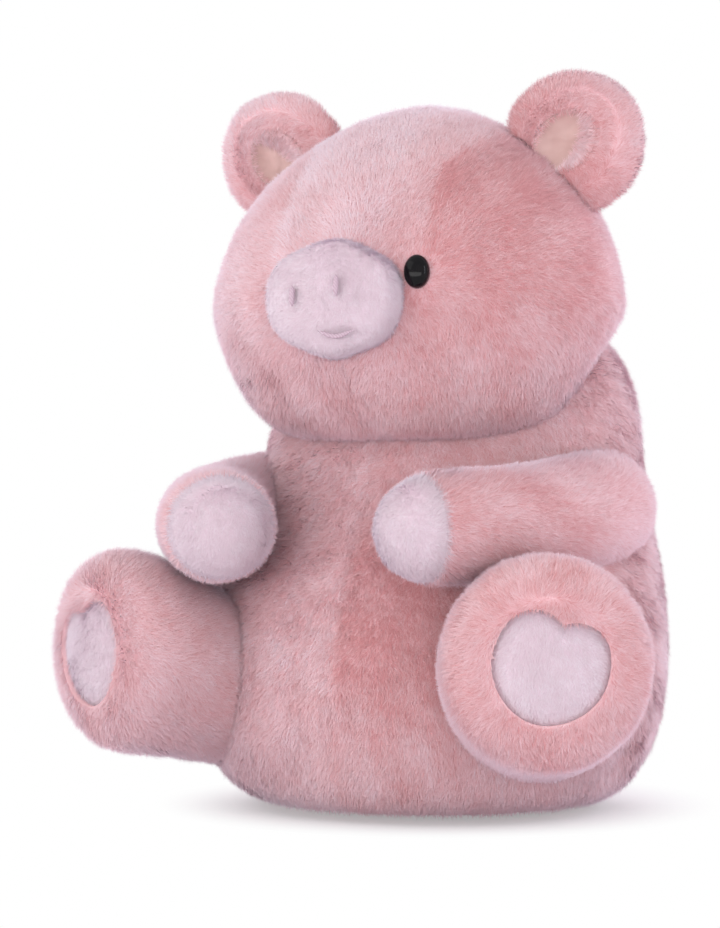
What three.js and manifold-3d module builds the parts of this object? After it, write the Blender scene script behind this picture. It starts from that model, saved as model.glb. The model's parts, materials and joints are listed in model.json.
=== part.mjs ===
// A seated plush pig, in millimetres, +Z up. The pig faces -Y, and its left side is +X.
// The origin is on the surface that it sits on, under the middle of the seat.
// Every soft outline is measured over the tips of the pile.
import * as THREE from "three";
import { mergeVertices } from "three/addons/utils/BufferGeometryUtils.js";
import Module from "manifold-3d";

const wasm = await Module();
wasm.setup();

// Driving sizes of the soft forms. A length runs along a form's own axis.
const body = { height: 212, halfWidth: 100, front: 102, back: 86 };
const head = { height: 142, halfWidth: 88, front: 73.5, back: 70, sink: 65, forward: 42 };
const snout = { length: 33, halfWidth: 28.4, below: 23.5, above: 23.5, proud: 16, lift: 56.6 };
const arm = { length: 165, behind: 22, halfWidth: 25.4, below: 24.6, above: 25 };
const leg = { length: 122, behind: 26, halfWidth: 40.8, below: 33, above: 60.4 };
const ear = { length: 54, rooted: 14, halfWidth: 30, front: 12, back: 12 };
const tail = { reach: 27, radius: 5.2, curl: 8.5, turns: 1.15, rise: 4 };

// Where the limbs, ears and face sit. Turns are in degrees.
const shoulder = { out: 67, back: 8, up: 123.4 };
const armTurn = { outward: 19.5, drop: 5, bend: 58, bentOver: 115 };
const hip = { out: 56, ahead: 35, up: 47 };
const legSplay = 28;
const earPlace = { up: 116, back: 4.6 };
const earLift = { left: 41, right: 44 };
const earLean = { left: 8, right: -4 };
const earSpread = { left: 1, right: 0.93 };
const tailRoot = { up: 50, rooted: 6 };
const eyePlace = { out: 31.5, up: 66.7, sink: 2.5 };

// Cloth, stuffing and fits.
const pileSkin = 9;
const stuffingGap = 0.3;
const seamGap = 0.3;
const movingGap = 0.6;
const floorCut = 0.5;

// Pieces that are sewn on or fastened through the skin.
const neckOpening = { radius: 34 };
const pawPad = { from: 123 };
const solePad = { halfWidth: 21.5, height: 42, up: 18.5, notch: 7, notchHalf: 6 };
const soleFit = { thick: 4.5, recess: 2.5, turn: 18 };
const lining = { halfWidth: 12, depth: 9.5, halfLength: 14, along: 8, thick: 2.4 };
const eye = { halfWidth: 5, halfHeight: 6.5, dome: 3.8, rim: 1.2 };
const stem = { radius: 2, barb: 0.35, length: 15, barbs: 4, barbPitch: 2, clearance: 0.25 };
const washer = { radius: 8, thick: 1.2, teeth: 6, slot: 0.9, ring: 3 };
const nostril = { apart: 19, aside: -2, height: 8.5, thread: 1.1 };
const nostrilLift = { left: 4, right: 0.5 };
const mouth = { aside: 6.5, drop: 13, width: 15, sag: 2.4, thread: 0.9 };
const pellets = { halfLength: 52, halfWidth: 58, thick: 26 };

// How far the sewn joints move, in degrees either way or from rest.
const moves = { neck: 12, shoulder: 12, hip: 15, ear: 10, tail: 12 };

// Counts of sides and of rings between two rows of an outline.
const fine = { sides: 28, steps: 1 };
const middling = { sides: 18, steps: 1 };
const plain = { sides: 14, steps: 1 };
const small = { sides: 10 };
const curveParts = 5;
const seatSides = 24;
const sweepStep = 5;
const cutSpan = 500;
const overrun = 5;
const weld = 1e-3;

// The rounded hip that a leg turns on, as shares of the leg's half width.
const hipSeatShares = { radius: 1.08, height: 0.93 };

// Outlines. Each row is how far along the form, its half width, and its reach to either side of its
// axis, as shares of the form's own sizes. The two reaches are front and back, or below and above.
const bodyShares = [
  [0, 0, 0.08, -0.098],
  [0, 0.53, 0.59, 0.53],
  [0.012, 0.7, 0.755, 0.69],
  [0.058, 0.855, 0.91, 0.82],
  [0.157, 0.965, 0.99, 0.905],
  [0.284, 1, 1, 0.95],
  [0.416, 0.97, 0.91, 0.975],
  [0.538, 0.895, 0.755, 0.99],
  [0.652, 0.83, 0.62, 1],
  [0.755, 0.8, 0.52, 0.99],
  [0.849, 0.735, 0.41, 0.94],
  [0.925, 0.6, 0.275, 0.82],
  [0.977, 0.38, 0.09, 0.61],
  [1, 0, -0.216, 0.265],
];
const headShares = [
  [0, 0, 0, 0],
  [0.007, 0.4, 0.46, 0.25],
  [0.03, 0.575, 0.66, 0.36],
  [0.081, 0.72, 0.78, 0.47],
  [0.156, 0.82, 0.88, 0.6],
  [0.267, 0.92, 0.975, 0.79],
  [0.393, 1, 1, 0.98],
  [0.526, 0.965, 0.973, 0.985],
  [0.659, 0.872, 0.877, 0.942],
  [0.793, 0.71, 0.69, 0.84],
  [0.911, 0.453, 0.41, 0.638],
  [0.978, 0.21, 0.12, 0.34],
  [1, 0, -0.11, 0.116],
];
const snoutShares = [
  [0, 0, 0, 0],
  [0.06, 0.5, 0.5, 0.5],
  [0.3, 0.94, 0.94, 0.94],
  [0.55, 1, 1, 1],
  [0.78, 0.95, 0.95, 0.95],
  [0.92, 0.72, 0.72, 0.72],
  [0.98, 0.4, 0.4, 0.4],
  [1, 0, 0, 0],
];
const armShares = [
  [0, 0, 0, 0],
  [0.03, 0.5, 0.5, 0.5],
  [0.1, 0.87, 0.87, 0.87],
  [0.2, 1.02, 1.02, 1.02],
  [0.36, 1, 1, 1],
  [0.55, 0.96, 0.96, 0.95],
  [0.73, 0.95, 0.93, 0.95],
  [0.84, 0.93, 0.9, 0.94],
  [0.92, 0.79, 0.77, 0.8],
  [0.975, 0.5, 0.5, 0.5],
  [1, 0, 0, 0],
];
const legShares = [
  [0, 0, 0, 0],
  [0.05, 0.45, 0.5, 0.3],
  [0.18, 0.74, 0.93, 0.52],
  [0.34, 0.86, 0.98, 0.62],
  [0.5, 0.92, 0.9, 0.74],
  [0.67, 0.98, 0.78, 0.91],
  [0.8, 1, 0.71, 1],
  [0.9, 0.94, 0.62, 0.97],
  [0.96, 0.77, 0.39, 0.84],
  [0.985, 0.45, 0.03, 0.62],
  [1, 0, -0.58, 0.32],
];
const earShares = [
  [0, 0, 0, 0],
  [0.06, 0.65, 0.6, 0.6],
  [0.2, 0.95, 0.9, 0.9],
  [0.4, 1.03, 1, 1],
  [0.58, 1, 1, 1],
  [0.75, 0.85, 0.9, 0.9],
  [0.89, 0.58, 0.7, 0.7],
  [0.97, 0.3, 0.38, 0.38],
  [1, 0, 0, 0],
];
const tailShares = [1, 1, 1, 1, 0.98, 0.96, 0.93, 0.9, 0.86, 0.82, 0.77, 0.7, 0.6, 0.42];
const domeShares = [
  [1, 0],
  [0.98, 0.25],
  [0.86, 0.58],
  [0.62, 0.83],
  [0.32, 0.96],
  [0, 1],
];
const pelletShares = [
  [0, 0, 0, 0],
  [0, 0.6, 0.6, 0.6],
  [0.12, 0.88, 0.88, 0.88],
  [0.4, 1, 1, 1],
  [0.7, 0.9, 0.9, 0.9],
  [0.93, 0.55, 0.55, 0.55],
  [1, 0, 0, 0],
];

const materials = {
  plush: new THREE.MeshStandardMaterial({ color: 0xdfabad, roughness: 0.95, metalness: 0 }),
  palePlush: new THREE.MeshStandardMaterial({ color: 0xe6d5de, roughness: 0.95, metalness: 0 }),
  satin: new THREE.MeshStandardMaterial({ color: 0xd6b2a5, roughness: 0.55, metalness: 0 }),
  thread: new THREE.MeshStandardMaterial({ color: 0xc9a9b4, roughness: 0.8, metalness: 0 }),
  eye: new THREE.MeshStandardMaterial({ color: 0x08080a, roughness: 0.08, metalness: 0 }),
  washer: new THREE.MeshStandardMaterial({ color: 0xe9e9e4, roughness: 0.5, metalness: 0 }),
  stuffing: new THREE.MeshStandardMaterial({ color: 0xf4f2ee, roughness: 1, metalness: 0 }),
  pouch: new THREE.MeshStandardMaterial({ color: 0xe8e2d6, roughness: 0.9, metalness: 0 }),
};

// Outlines and forms

// The row past a round end is the row before it, seen from the far side of the end.
const pastEnd = (end, next) => next.map((value, i) => (i === 0 ? value : 2 * end[i] - value));

// The rows with more rows between them, all on one smooth curve.
function smoothRows(rows, steps) {
  const last = rows.length - 1;
  const row = (i) => {
    if (i < 0) return pastEnd(rows[0], rows[1]);
    if (i > last) return pastEnd(rows[last], rows[last - 1]);
    return rows[i];
  };
  const made = [];
  for (let i = 0; i < last; i++) {
    for (let step = 0; step < steps; step++) {
      const t = step / steps;
      const [a, b, c, d] = [row(i - 1), row(i), row(i + 1), row(i + 2)];
      made.push(
        b.map((value, k) => {
          const slope = (c[k] - a[k]) / 2;
          const nextSlope = (d[k] - value) / 2;
          const change = c[k] - value;
          const bend = 3 * change - 2 * slope - nextSlope;
          const twist = slope + nextSlope - 2 * change;
          return value + slope * t + bend * t ** 2 + twist * t ** 3;
        }),
      );
    }
  }
  made.push(rows[last]);
  return made;
}

// A closed skin over rings of points, which start and end in a point.
function closedForm(start, rings, end) {
  const sides = rings[0].length;
  const points = [start, ...rings.flat(), end];
  const faces = [];
  const at = (ring, side) => 1 + ring * sides + (side % sides);
  const lastRing = rings.length - 1;
  for (let side = 0; side < sides; side++) {
    faces.push(0, at(0, side + 1), at(0, side));
    for (let ring = 0; ring < lastRing; ring++) {
      faces.push(at(ring, side), at(ring, side + 1), at(ring + 1, side + 1));
      faces.push(at(ring, side), at(ring + 1, side + 1), at(ring + 1, side));
    }
    faces.push(points.length - 1, at(lastRing, side), at(lastRing, side + 1));
  }
  const geometry = new THREE.BufferGeometry().setFromPoints(points);
  geometry.setIndex(faces);
  return geometry;
}

// The rings of a form that swells and tapers along +Z. X is its width, Y its two reaches.
function swellRings(rows, size, counts) {
  const scaled = smoothRows(rows, counts.steps).map(([along, wide, low, high]) => [
    along * size.length,
    wide * size.halfWidth,
    low * size.below,
    high * size.above,
  ]);
  return scaled.map(([along, wide, low, high]) => {
    const middle = (high - low) / 2;
    const reach = (high + low) / 2;
    return Array.from({ length: counts.sides }, (_, side) => {
      const turn = (2 * Math.PI * side) / counts.sides;
      return new THREE.Vector3(wide * Math.cos(turn), middle + reach * Math.sin(turn), along);
    });
  });
}

function swell(rows, size, counts) {
  const rings = swellRings(rows, size, counts);
  return closedForm(rings[0][0], rings.slice(1, -1), rings[rings.length - 1][0]);
}

// The same form with its surface moved out along its normals, or in for a negative amount.
function grown(geometry, amount) {
  const made = mergeVertices(geometry.clone(), weld);
  made.computeVertexNormals();
  const position = made.getAttribute("position");
  const normal = made.getAttribute("normal");
  for (let i = 0; i < position.count; i++) {
    const point = new THREE.Vector3().fromBufferAttribute(position, i);
    point.addScaledVector(new THREE.Vector3().fromBufferAttribute(normal, i), amount);
    position.setXYZ(i, point.x, point.y, point.z);
  }
  made.deleteAttribute("normal");
  return made;
}

// A frame whose +Z runs along a direction, with its +Y as near to `upward` as it can be.
function frameAlong(origin, along, upward) {
  const z = along.clone().normalize();
  const x = new THREE.Vector3().crossVectors(upward, z).normalize();
  const y = new THREE.Vector3().crossVectors(z, x);
  return new THREE.Matrix4().makeBasis(x, y, z).setPosition(origin);
}

const shifted = (geometry, x, y, z) => geometry.clone().translate(x, y, z);
const turned = (geometry, frame) => geometry.clone().applyMatrix4(frame);
const radians = THREE.MathUtils.degToRad;

// Solids

function solid(geometry) {
  const bare = new THREE.BufferGeometry();
  const source = geometry.index ? geometry.toNonIndexed() : geometry;
  bare.setAttribute("position", source.getAttribute("position").clone());
  const whole = mergeVertices(bare, weld);
  const triVerts = new Uint32Array(whole.index.array);
  const vertProperties = new Float32Array(whole.getAttribute("position").array);
  const made = new wasm.Manifold(new wasm.Mesh({ numProp: 3, vertProperties, triVerts }));
  if (made.volume() > 0) return made;
  const facingOut = triVerts.slice().reverse();
  return new wasm.Manifold(new wasm.Mesh({ numProp: 3, vertProperties, triVerts: facingOut }));
}

function geometryOf(made) {
  const { vertProperties, triVerts, numProp } = made.getMesh();
  const position = new Float32Array((vertProperties.length / numProp) * 3);
  for (let i = 0; i < position.length; i++) {
    position[i] = vertProperties[Math.floor(i / 3) * numProp + (i % 3)];
  }
  const geometry = new THREE.BufferGeometry();
  geometry.setAttribute("position", new THREE.BufferAttribute(position, 3));
  geometry.setIndex(new THREE.BufferAttribute(new Uint32Array(triVerts), 1));
  return geometry;
}

const without = (made, cutters) => cutters.reduce((left, cutter) => left.subtract(cutter), made);

// A block that holds all that lies beyond a plane through the frame's origin, on its +Z side.
function beyond(frame) {
  const block = new THREE.BoxGeometry(cutSpan, cutSpan, cutSpan);
  return solid(turned(block.translate(0, 0, cutSpan / 2), frame));
}

// Cutters that follow a form as it turns about an axis, seen from the piece that turns.
function sweptPast(geometry, pivot, axis, from, to) {
  const cutters = [];
  const steps = Math.max(1, Math.ceil((to - from) / sweepStep));
  for (let step = 0; step <= steps; step++) {
    const degrees = from + ((to - from) * step) / steps;
    const turn = new THREE.Matrix4().makeRotationAxis(axis, radians(-degrees));
    const there = new THREE.Matrix4().makeTranslation(pivot);
    const back = new THREE.Matrix4().makeTranslation(pivot.clone().negate());
    cutters.push(solid(turned(geometry, there.multiply(turn).multiply(back))));
  }
  return cutters;
}

// The scene graph: a group for each piece that moves, with its origin on its joint.

const pig = new THREE.Group();
const xAxis = new THREE.Vector3(1, 0, 0);
const yAxis = new THREE.Vector3(0, 1, 0);
const zAxis = new THREE.Vector3(0, 0, 1);

function groupAt(parent, parentOrigin, origin) {
  const group = new THREE.Group();
  group.position.copy(origin).sub(parentOrigin);
  parent.add(group);
  return group;
}

// Adds a piece that is given in the pig's own frame to the group whose origin is given.
function addPiece(group, origin, name, geometry, material) {
  const placed = shifted(geometry, -origin.x, -origin.y, -origin.z);
  const mesh = new THREE.Mesh(placed, material);
  mesh.name = name;
  group.add(mesh);
}

// The other side's copy of a piece.
function mirrored(geometry) {
  const made = geometry.clone();
  made.scale(-1, 1, 1);
  made.setIndex([...made.index.array].reverse());
  return made;
}

const bothSides = [
  { word: "left", sign: 1 },
  { word: "right", sign: -1 },
];
const sided = (geometry, sign) => (sign > 0 ? geometry : mirrored(geometry));
const across = (point, sign) => new THREE.Vector3(point.x * sign, point.y, point.z);

// Body

const bodySize = {
  length: body.height + floorCut,
  halfWidth: body.halfWidth,
  below: body.front,
  above: body.back,
};
const pear = (counts) => swell(bodyShares, bodySize, counts).translate(0, 0, -floorCut);
const crownPoint = swellRings(bodyShares, bodySize, plain).at(-1)[0];
const neckPivot = new THREE.Vector3(0, crownPoint.y, body.height - head.sink);
const hipPivot = new THREE.Vector3(hip.out, -hip.ahead, hip.up);

// The rounded hip that a leg turns on: a turned form about the hip's upright axis.
function hipSeat(sign, amount, rounder = 1) {
  const radius = leg.halfWidth * hipSeatShares.radius * rounder + amount;
  const height = leg.halfWidth * hipSeatShares.height + amount;
  const ball = new THREE.SphereGeometry(1, seatSides, plain.sides / 2).rotateX(Math.PI / 2);
  const centre = across(hipPivot, sign);
  return ball.scale(radius, radius, height).translate(centre.x, centre.y, centre.z);
}

function bodyForm(counts, amount) {
  const hips = bothSides.map(({ sign }) => solid(hipSeat(sign, amount)));
  return hips.reduce((whole, ball) => whole.add(ball), solid(grown(pear(counts), amount)));
}

function pelletBag(amount) {
  const size = {
    length: pellets.thick,
    halfWidth: pellets.halfWidth,
    below: pellets.halfLength,
    above: pellets.halfLength,
  };
  const lying = swell(pelletShares, size, middling).translate(0, 0, pileSkin + stuffingGap - floorCut);
  return solid(grown(lying, amount));
}

function buildBody() {
  const belowFloor = solid(
    new THREE.BoxGeometry(cutSpan, cutSpan, cutSpan).translate(0, 0, -cutSpan / 2),
  );
  const outward = new THREE.Vector3(0, -head.forward, head.height / 2 + head.sink / 2);
  const opening = new THREE.CylinderGeometry(
    neckOpening.radius,
    neckOpening.radius,
    body.height,
    middling.sides,
  ).rotateX(Math.PI / 2);
  opening.translate(0, 0, body.height / 2);
  const neckHole = solid(turned(opening, frameAlong(neckPivot, outward, yAxis)));
  const inner = bodyForm(plain, -pileSkin);
  const skin = bodyForm(fine, 0).subtract(inner).subtract(neckHole).subtract(belowFloor);
  const stuffing = bodyForm(plain, -pileSkin - stuffingGap);
  const origin = new THREE.Vector3();
  addPiece(pig, origin, "body_skin", geometryOf(skin), materials.plush);
  addPiece(
    pig,
    origin,
    "body_stuffing",
    geometryOf(stuffing.subtract(pelletBag(stuffingGap))),
    materials.stuffing,
  );
  addPiece(pig, origin, "pellet_bag", geometryOf(pelletBag(0)), materials.pouch);
}

// Head

const headSize = {
  length: head.height,
  halfWidth: head.halfWidth,
  below: head.front,
  above: head.back,
};
const headBase = new THREE.Vector3(0, neckPivot.y - head.forward, neckPivot.z);
const headForm = (counts) =>
  swell(headShares, headSize, counts).translate(headBase.x, headBase.y, headBase.z);

// The crown of the body as the head turns on it: a turned form about the neck's upright axis.
function neckSeat() {
  const rings = swellRings(bodyShares, bodySize, fine);
  const rounder = 1 / Math.cos(Math.PI / seatSides);
  const widest = (ring) =>
    Math.max(...ring.filter((p) => p.y <= crownPoint.y).map((p) => Math.hypot(p.x, p.y - crownPoint.y)));
  const low = neckPivot.z - head.height / 6;
  const profile = rings
    .slice(0, -1)
    .filter((ring) => ring[0].z > low)
    .map((ring) => new THREE.Vector2(widest(ring) * rounder + seamGap, ring[0].z));
  profile.unshift(new THREE.Vector2(0, profile[0].y));
  profile.push(new THREE.Vector2(0, body.height));
  const lifted = profile.map((p, i) => (i < 2 ? p : new THREE.Vector2(p.x, p.y + seamGap)));
  const seat = new THREE.LatheGeometry(lifted, seatSides).rotateX(Math.PI / 2);
  return solid(seat.translate(0, crownPoint.y, 0));
}

// The point of a form's outside that a line from inside meets, and the way it faces there.
function outsideOf(geometry, from, direction) {
  const mesh = new THREE.Mesh(geometry, new THREE.MeshBasicMaterial({ side: THREE.DoubleSide }));
  const hits = new THREE.Raycaster(from, direction.clone().normalize()).intersectObject(mesh);
  const farthest = hits[hits.length - 1];
  const normal = farthest.face.normal.clone();
  if (normal.dot(direction) < 0) normal.negate();
  return { point: farthest.point, normal };
}

// Eyes: an oval dome on a barbed stem, which a toothed washer locks behind the skin.

function eyeFrame() {
  const inside = new THREE.Vector3(eyePlace.out, headBase.y, headBase.z + eyePlace.up);
  const { point, normal } = outsideOf(headForm(fine), inside, yAxis.clone().negate());
  const seat = point.clone().addScaledVector(normal, -eyePlace.sink);
  return frameAlong(seat, normal, zAxis);
}

const turnedAboutZ = (profile, sides) => new THREE.LatheGeometry(profile, sides).rotateX(Math.PI / 2);

function eyeDome(amount) {
  const round = domeShares.map(([out, up]) => new THREE.Vector2(out, eye.rim + up * eye.dome));
  const profile = [new THREE.Vector2(0, 0), new THREE.Vector2(1, 0), ...round];
  const dome = turnedAboutZ(profile, middling.sides);
  const height = eye.rim + eye.dome;
  const taller = (height + amount) / height;
  return dome.scale(eye.halfWidth + amount, eye.halfHeight + amount, taller);
}

function eyeStem() {
  const profile = [new THREE.Vector2(0, -stem.length)];
  for (let barb = 0; barb < stem.barbs; barb++) {
    const base = -stem.length + barb * stem.barbPitch;
    profile.push(new THREE.Vector2(stem.radius, base));
    profile.push(new THREE.Vector2(stem.radius + stem.barb, base + stem.barbPitch / 2));
  }
  profile.push(new THREE.Vector2(stem.radius, -stem.length + stem.barbs * stem.barbPitch));
  profile.push(new THREE.Vector2(stem.radius, eye.rim / 2), new THREE.Vector2(0, eye.rim / 2));
  return turnedAboutZ(profile, small.sides);
}

const rod = (radius, from, to) =>
  new THREE.CylinderGeometry(radius, radius, to - from, plain.sides)
    .rotateX(Math.PI / 2)
    .translate(0, 0, (from + to) / 2);

// Depths behind the dome: the back of the skin, and the washer that bears on it.
const stemHole = stem.radius + stem.barb + stem.clearance;
const skinBack = -(pileSkin - eyePlace.sink);
const washerFront = skinBack - seamGap;
const washerBack = washerFront - washer.thick;

function lockingWasher() {
  const disc = solid(rod(washer.radius, washerBack, washerFront));
  const hole = solid(rod(stemHole, washerBack - overrun, washerFront + overrun));
  const cuts = [hole];
  for (let tooth = 0; tooth < washer.teeth; tooth++) {
    const slot = new THREE.BoxGeometry(washer.radius - washer.ring, washer.slot, washer.thick * overrun);
    slot.translate((washer.radius - washer.ring) / 2, 0, washerBack);
    cuts.push(solid(slot.rotateZ((2 * Math.PI * tooth) / washer.teeth)));
  }
  return without(disc, cuts);
}

// Pulled stitches on the snout: round-ended threads that lie half sunk in the pile.
function threadAlong(points, radius, further = 0) {
  const curve = new THREE.CatmullRomCurve3(points);
  const count = threadShares.length;
  const rings = threadShares.map((share, i) => {
    const at = curve.getPoint(i / (count - 1));
    const along = curve.getTangent(i / (count - 1));
    const frame = frameAlong(at, along, yAxis.clone().negate());
    return Array.from({ length: small.sides }, (_, side) => {
      const turn = (2 * Math.PI * side) / small.sides;
      const reach = radius * share;
      return new THREE.Vector3(reach * Math.cos(turn), reach * Math.sin(turn), 0).applyMatrix4(frame);
    });
  });
  const first = curve.getPoint(0).addScaledVector(curve.getTangent(0), -further);
  const last = curve.getPoint(1).addScaledVector(curve.getTangent(1), further);
  return closedForm(first, rings.slice(1, -1), last);
}
const threadShares = [0, 0.75, 1, 1, 1, 0.75, 0];

const snoutCentre = new THREE.Vector3(0, 0, headBase.z + snout.lift);
function snoutFrame() {
  const inside = new THREE.Vector3(0, headBase.y, snoutCentre.z);
  const { point } = outsideOf(headForm(fine), inside, yAxis.clone().negate());
  const back = new THREE.Vector3(0, point.y + snout.length - snout.proud, snoutCentre.z);
  return frameAlong(back, yAxis.clone().negate(), zAxis);
}

function snoutStitches(form) {
  const onFace = (x, z) => {
    const from = new THREE.Vector3(x, snoutFrame().elements[13], z);
    return outsideOf(form, from, yAxis.clone().negate()).point;
  };
  const shares = [-0.5, 0, 0.5];
  const stitches = bothSides.map(({ word, sign }) => {
    const x = nostril.aside + (sign * nostril.apart) / 2;
    const z = snoutCentre.z + nostrilLift[word];
    const points = shares.map((share) => onFace(x, z + share * nostril.height));
    return { name: `nostril_stitch_${word}`, points, radius: nostril.thread };
  });
  const mouthPoints = shares.map((share) => {
    const drop = mouth.drop + mouth.sag * (1 - 4 * share ** 2);
    return onFace(mouth.aside + share * mouth.width, snoutCentre.z - drop);
  });
  stitches.push({ name: "mouth_stitch", points: mouthPoints, radius: mouth.thread });
  return stitches;
}

function buildHead() {
  const group = groupAt(pig, new THREE.Vector3(), neckPivot);
  const seat = neckSeat();
  const frame = eyeFrame();
  const inner = solid(grown(headForm(plain), -pileSkin));
  const bed = rod(washer.radius + seamGap, washerBack - seamGap, washerFront + seamGap);
  const holes = bothSides.flatMap(({ sign }) => {
    const recess = turned(eyeDome(seamGap).translate(0, 0, -seamGap), frame);
    const bore = turned(rod(stemHole, -stem.length, eye.rim), frame);
    return [recess, bore, turned(bed, frame)].map((cut) => solid(sided(mergeVertices(cut), sign)));
  });
  const skin = without(solid(headForm(fine)), [inner, seat, ...holes]);
  addPiece(group, neckPivot, "head_skin", geometryOf(skin), materials.plush);

  const pockets = bothSides.flatMap(({ sign }) => {
    const room = turned(rod(stemHole, -stem.length - stuffingGap, eye.rim), frame);
    const around = washer.radius + stuffingGap;
    const disc = turned(rod(around, washerBack - stuffingGap, skinBack + overrun), frame);
    return [room, disc].map((cut) => solid(sided(mergeVertices(cut), sign)));
  });
  const filling = solid(grown(headForm(plain), -pileSkin - stuffingGap));
  const stuffing = without(filling, [seat, ...pockets]);
  addPiece(group, neckPivot, "head_stuffing", geometryOf(stuffing), materials.stuffing);

  const onePiece = solid(turned(eyeDome(0), frame)).add(solid(turned(eyeStem(), frame)));
  const lock = turned(geometryOf(lockingWasher()), frame);
  for (const { word, sign } of bothSides) {
    const fitted = sided(geometryOf(onePiece), sign);
    addPiece(group, neckPivot, `eye_${word}`, fitted, materials.eye);
    addPiece(group, neckPivot, `eye_washer_${word}`, sided(lock, sign), materials.washer);
  }

  const snoutForm = turned(swell(snoutShares, snout, middling), snoutFrame());
  const stitches = snoutStitches(snoutForm);
  const grooves = stitches.map(({ points, radius }) => solid(threadAlong(points, radius + seamGap, seamGap)));
  const headRoom = solid(grown(headForm(fine), seamGap));
  const snoutPiece = without(solid(snoutForm), [headRoom, ...grooves]);
  addPiece(group, neckPivot, "snout", geometryOf(snoutPiece), materials.palePlush);
  for (const { name, points, radius } of stitches) {
    addPiece(group, neckPivot, name, threadAlong(points, radius), materials.thread);
  }
  for (const { word, sign } of bothSides) buildEar(group, word, sign);
}

// Ears: a thick cupped flap with a hollow in its front, where the lining lies.

function buildEar(headGroup, word, sign) {
  const lift = radians(earLift[word]);
  const lean = radians(earLean[word]);
  const along = new THREE.Vector3(
    sign * Math.cos(lift) * Math.cos(lean),
    Math.sin(lean),
    Math.sin(lift) * Math.cos(lean),
  );
  const middle = new THREE.Vector3(0, headBase.y + earPlace.back, headBase.z + earPlace.up);
  const { point } = outsideOf(headForm(fine), middle, across(xAxis, sign));
  const frame = frameAlong(point, along, yAxis);
  const halfWidth = ear.halfWidth * earSpread[word];
  const size = { length: ear.length, halfWidth, below: ear.front, above: ear.back };
  const flat = swell(earShares, size, middling).translate(0, 0, -ear.rooted);
  const hollow = (amount) =>
    new THREE.SphereGeometry(1, plain.sides, plain.sides / 2)
      .scale(lining.halfWidth * earSpread[word] + amount, lining.depth + amount, lining.halfLength + amount)
      .translate(0, -ear.front, lining.along);
  const hinge = new THREE.Vector3().setFromMatrixColumn(frame, 0);
  const cutters = sweptPast(grown(headForm(fine), seamGap), point, hinge, -moves.ear, moves.ear);
  const flap = solid(turned(flat, frame)).subtract(solid(turned(hollow(0), frame)));
  const liningPad = solid(turned(hollow(-seamGap), frame))
    .subtract(solid(turned(hollow(-seamGap - lining.thick), frame)))
    .intersect(solid(turned(grown(flat, -seamGap), frame)));
  const group = groupAt(headGroup, neckPivot, point);
  addPiece(group, point, `ear_${word}`, geometryOf(without(flap, cutters)), materials.plush);
  addPiece(group, point, `ear_lining_${word}`, geometryOf(without(liningPad, cutters)), materials.satin);
}

// Arms: a sleeve that swells from the shoulder, closed by a pale domed pad.

const shoulderPivot = new THREE.Vector3(shoulder.out, shoulder.back, shoulder.up);
function armFrame() {
  const outward = radians(armTurn.outward);
  const drop = radians(armTurn.drop);
  const along = new THREE.Vector3(
    Math.sin(outward) * Math.cos(drop),
    -Math.cos(outward) * Math.cos(drop),
    -Math.sin(drop),
  );
  return frameAlong(shoulderPivot, along, zAxis);
}

// Bends a form that runs along +Z towards -X, on one arc from the joint to the seam of the pad.
const bendRadius = armTurn.bentOver / radians(armTurn.bend);
function bent(geometry) {
  const made = geometry.clone();
  const position = made.getAttribute("position");
  for (let i = 0; i < position.count; i++) {
    const past = Math.max(0, position.getZ(i));
    const turn = Math.min(past / bendRadius, radians(armTurn.bend));
    const straight = position.getZ(i) - turn * bendRadius;
    const reach = bendRadius + position.getX(i);
    const x = reach * Math.cos(turn) - bendRadius - straight * Math.sin(turn);
    const z = reach * Math.sin(turn) + straight * Math.cos(turn);
    position.setXYZ(i, x, position.getY(i), z);
  }
  return made;
}

function buildArms() {
  const frame = armFrame();
  const form = swell(armShares, arm, middling).translate(0, 0, -arm.behind);
  const lean = (geometry) => turned(bent(geometry), frame);
  const seamTurn = radians((armTurn.bend * pawPad.from) / armTurn.bentOver);
  const seamPoint = new THREE.Vector3(
    bendRadius * (Math.cos(seamTurn) - 1),
    0,
    bendRadius * Math.sin(seamTurn),
  );
  const seamWay = new THREE.Vector3(-Math.sin(seamTurn), 0, Math.cos(seamTurn));
  const pastSeam = (amount) => {
    const at = seamPoint.clone().addScaledVector(seamWay, amount);
    return beyond(frame.clone().multiply(frameAlong(at, seamWay, yAxis)));
  };
  const upward = xAxis.clone().negate();
  const rounder = leg.halfWidth * (1 / Math.cos(Math.PI / plain.sides) - 1);
  const legBelow = turned(grown(legForm(plain), rounder + movingGap), legFrame());
  const past = [
    ...sweptPast(grown(pear(fine), seamGap), shoulderPivot, upward, 0, moves.shoulder),
    ...sweptPast(legBelow, hipPivot, zAxis, -moves.hip, 0),
  ];
  const inner = swell(armShares, arm, plain).translate(0, 0, -arm.behind);
  const hollow = solid(lean(grown(inner, -pileSkin)));
  const shell = solid(lean(form)).subtract(hollow);
  const sleeve = without(shell, [pastSeam(0), ...past]);
  const pad = without(shell.intersect(pastSeam(seamGap)), past);
  const stuffing = without(solid(lean(grown(inner, -pileSkin - stuffingGap))), past);
  for (const { word, sign } of bothSides) {
    const pivot = across(shoulderPivot, sign);
    const group = groupAt(pig, new THREE.Vector3(), pivot);
    const add = (name, made, material) =>
      addPiece(group, pivot, `${name}_${word}`, sided(geometryOf(made), sign), material);
    add("arm_skin", sleeve, materials.plush);
    add("arm_stuffing", stuffing, materials.stuffing);
    add("paw_pad", pad, materials.palePlush);
  }
}

// Legs: a foot that swells from the hip, with a notched pad set into its sole.

function legFrame() {
  const splay = radians(legSplay);
  const along = new THREE.Vector3(Math.sin(splay), -Math.cos(splay), 0);
  return frameAlong(hipPivot, along, zAxis);
}

const legForm = (counts) => swell(legShares, leg, counts).translate(0, 0, -leg.behind);

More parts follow.
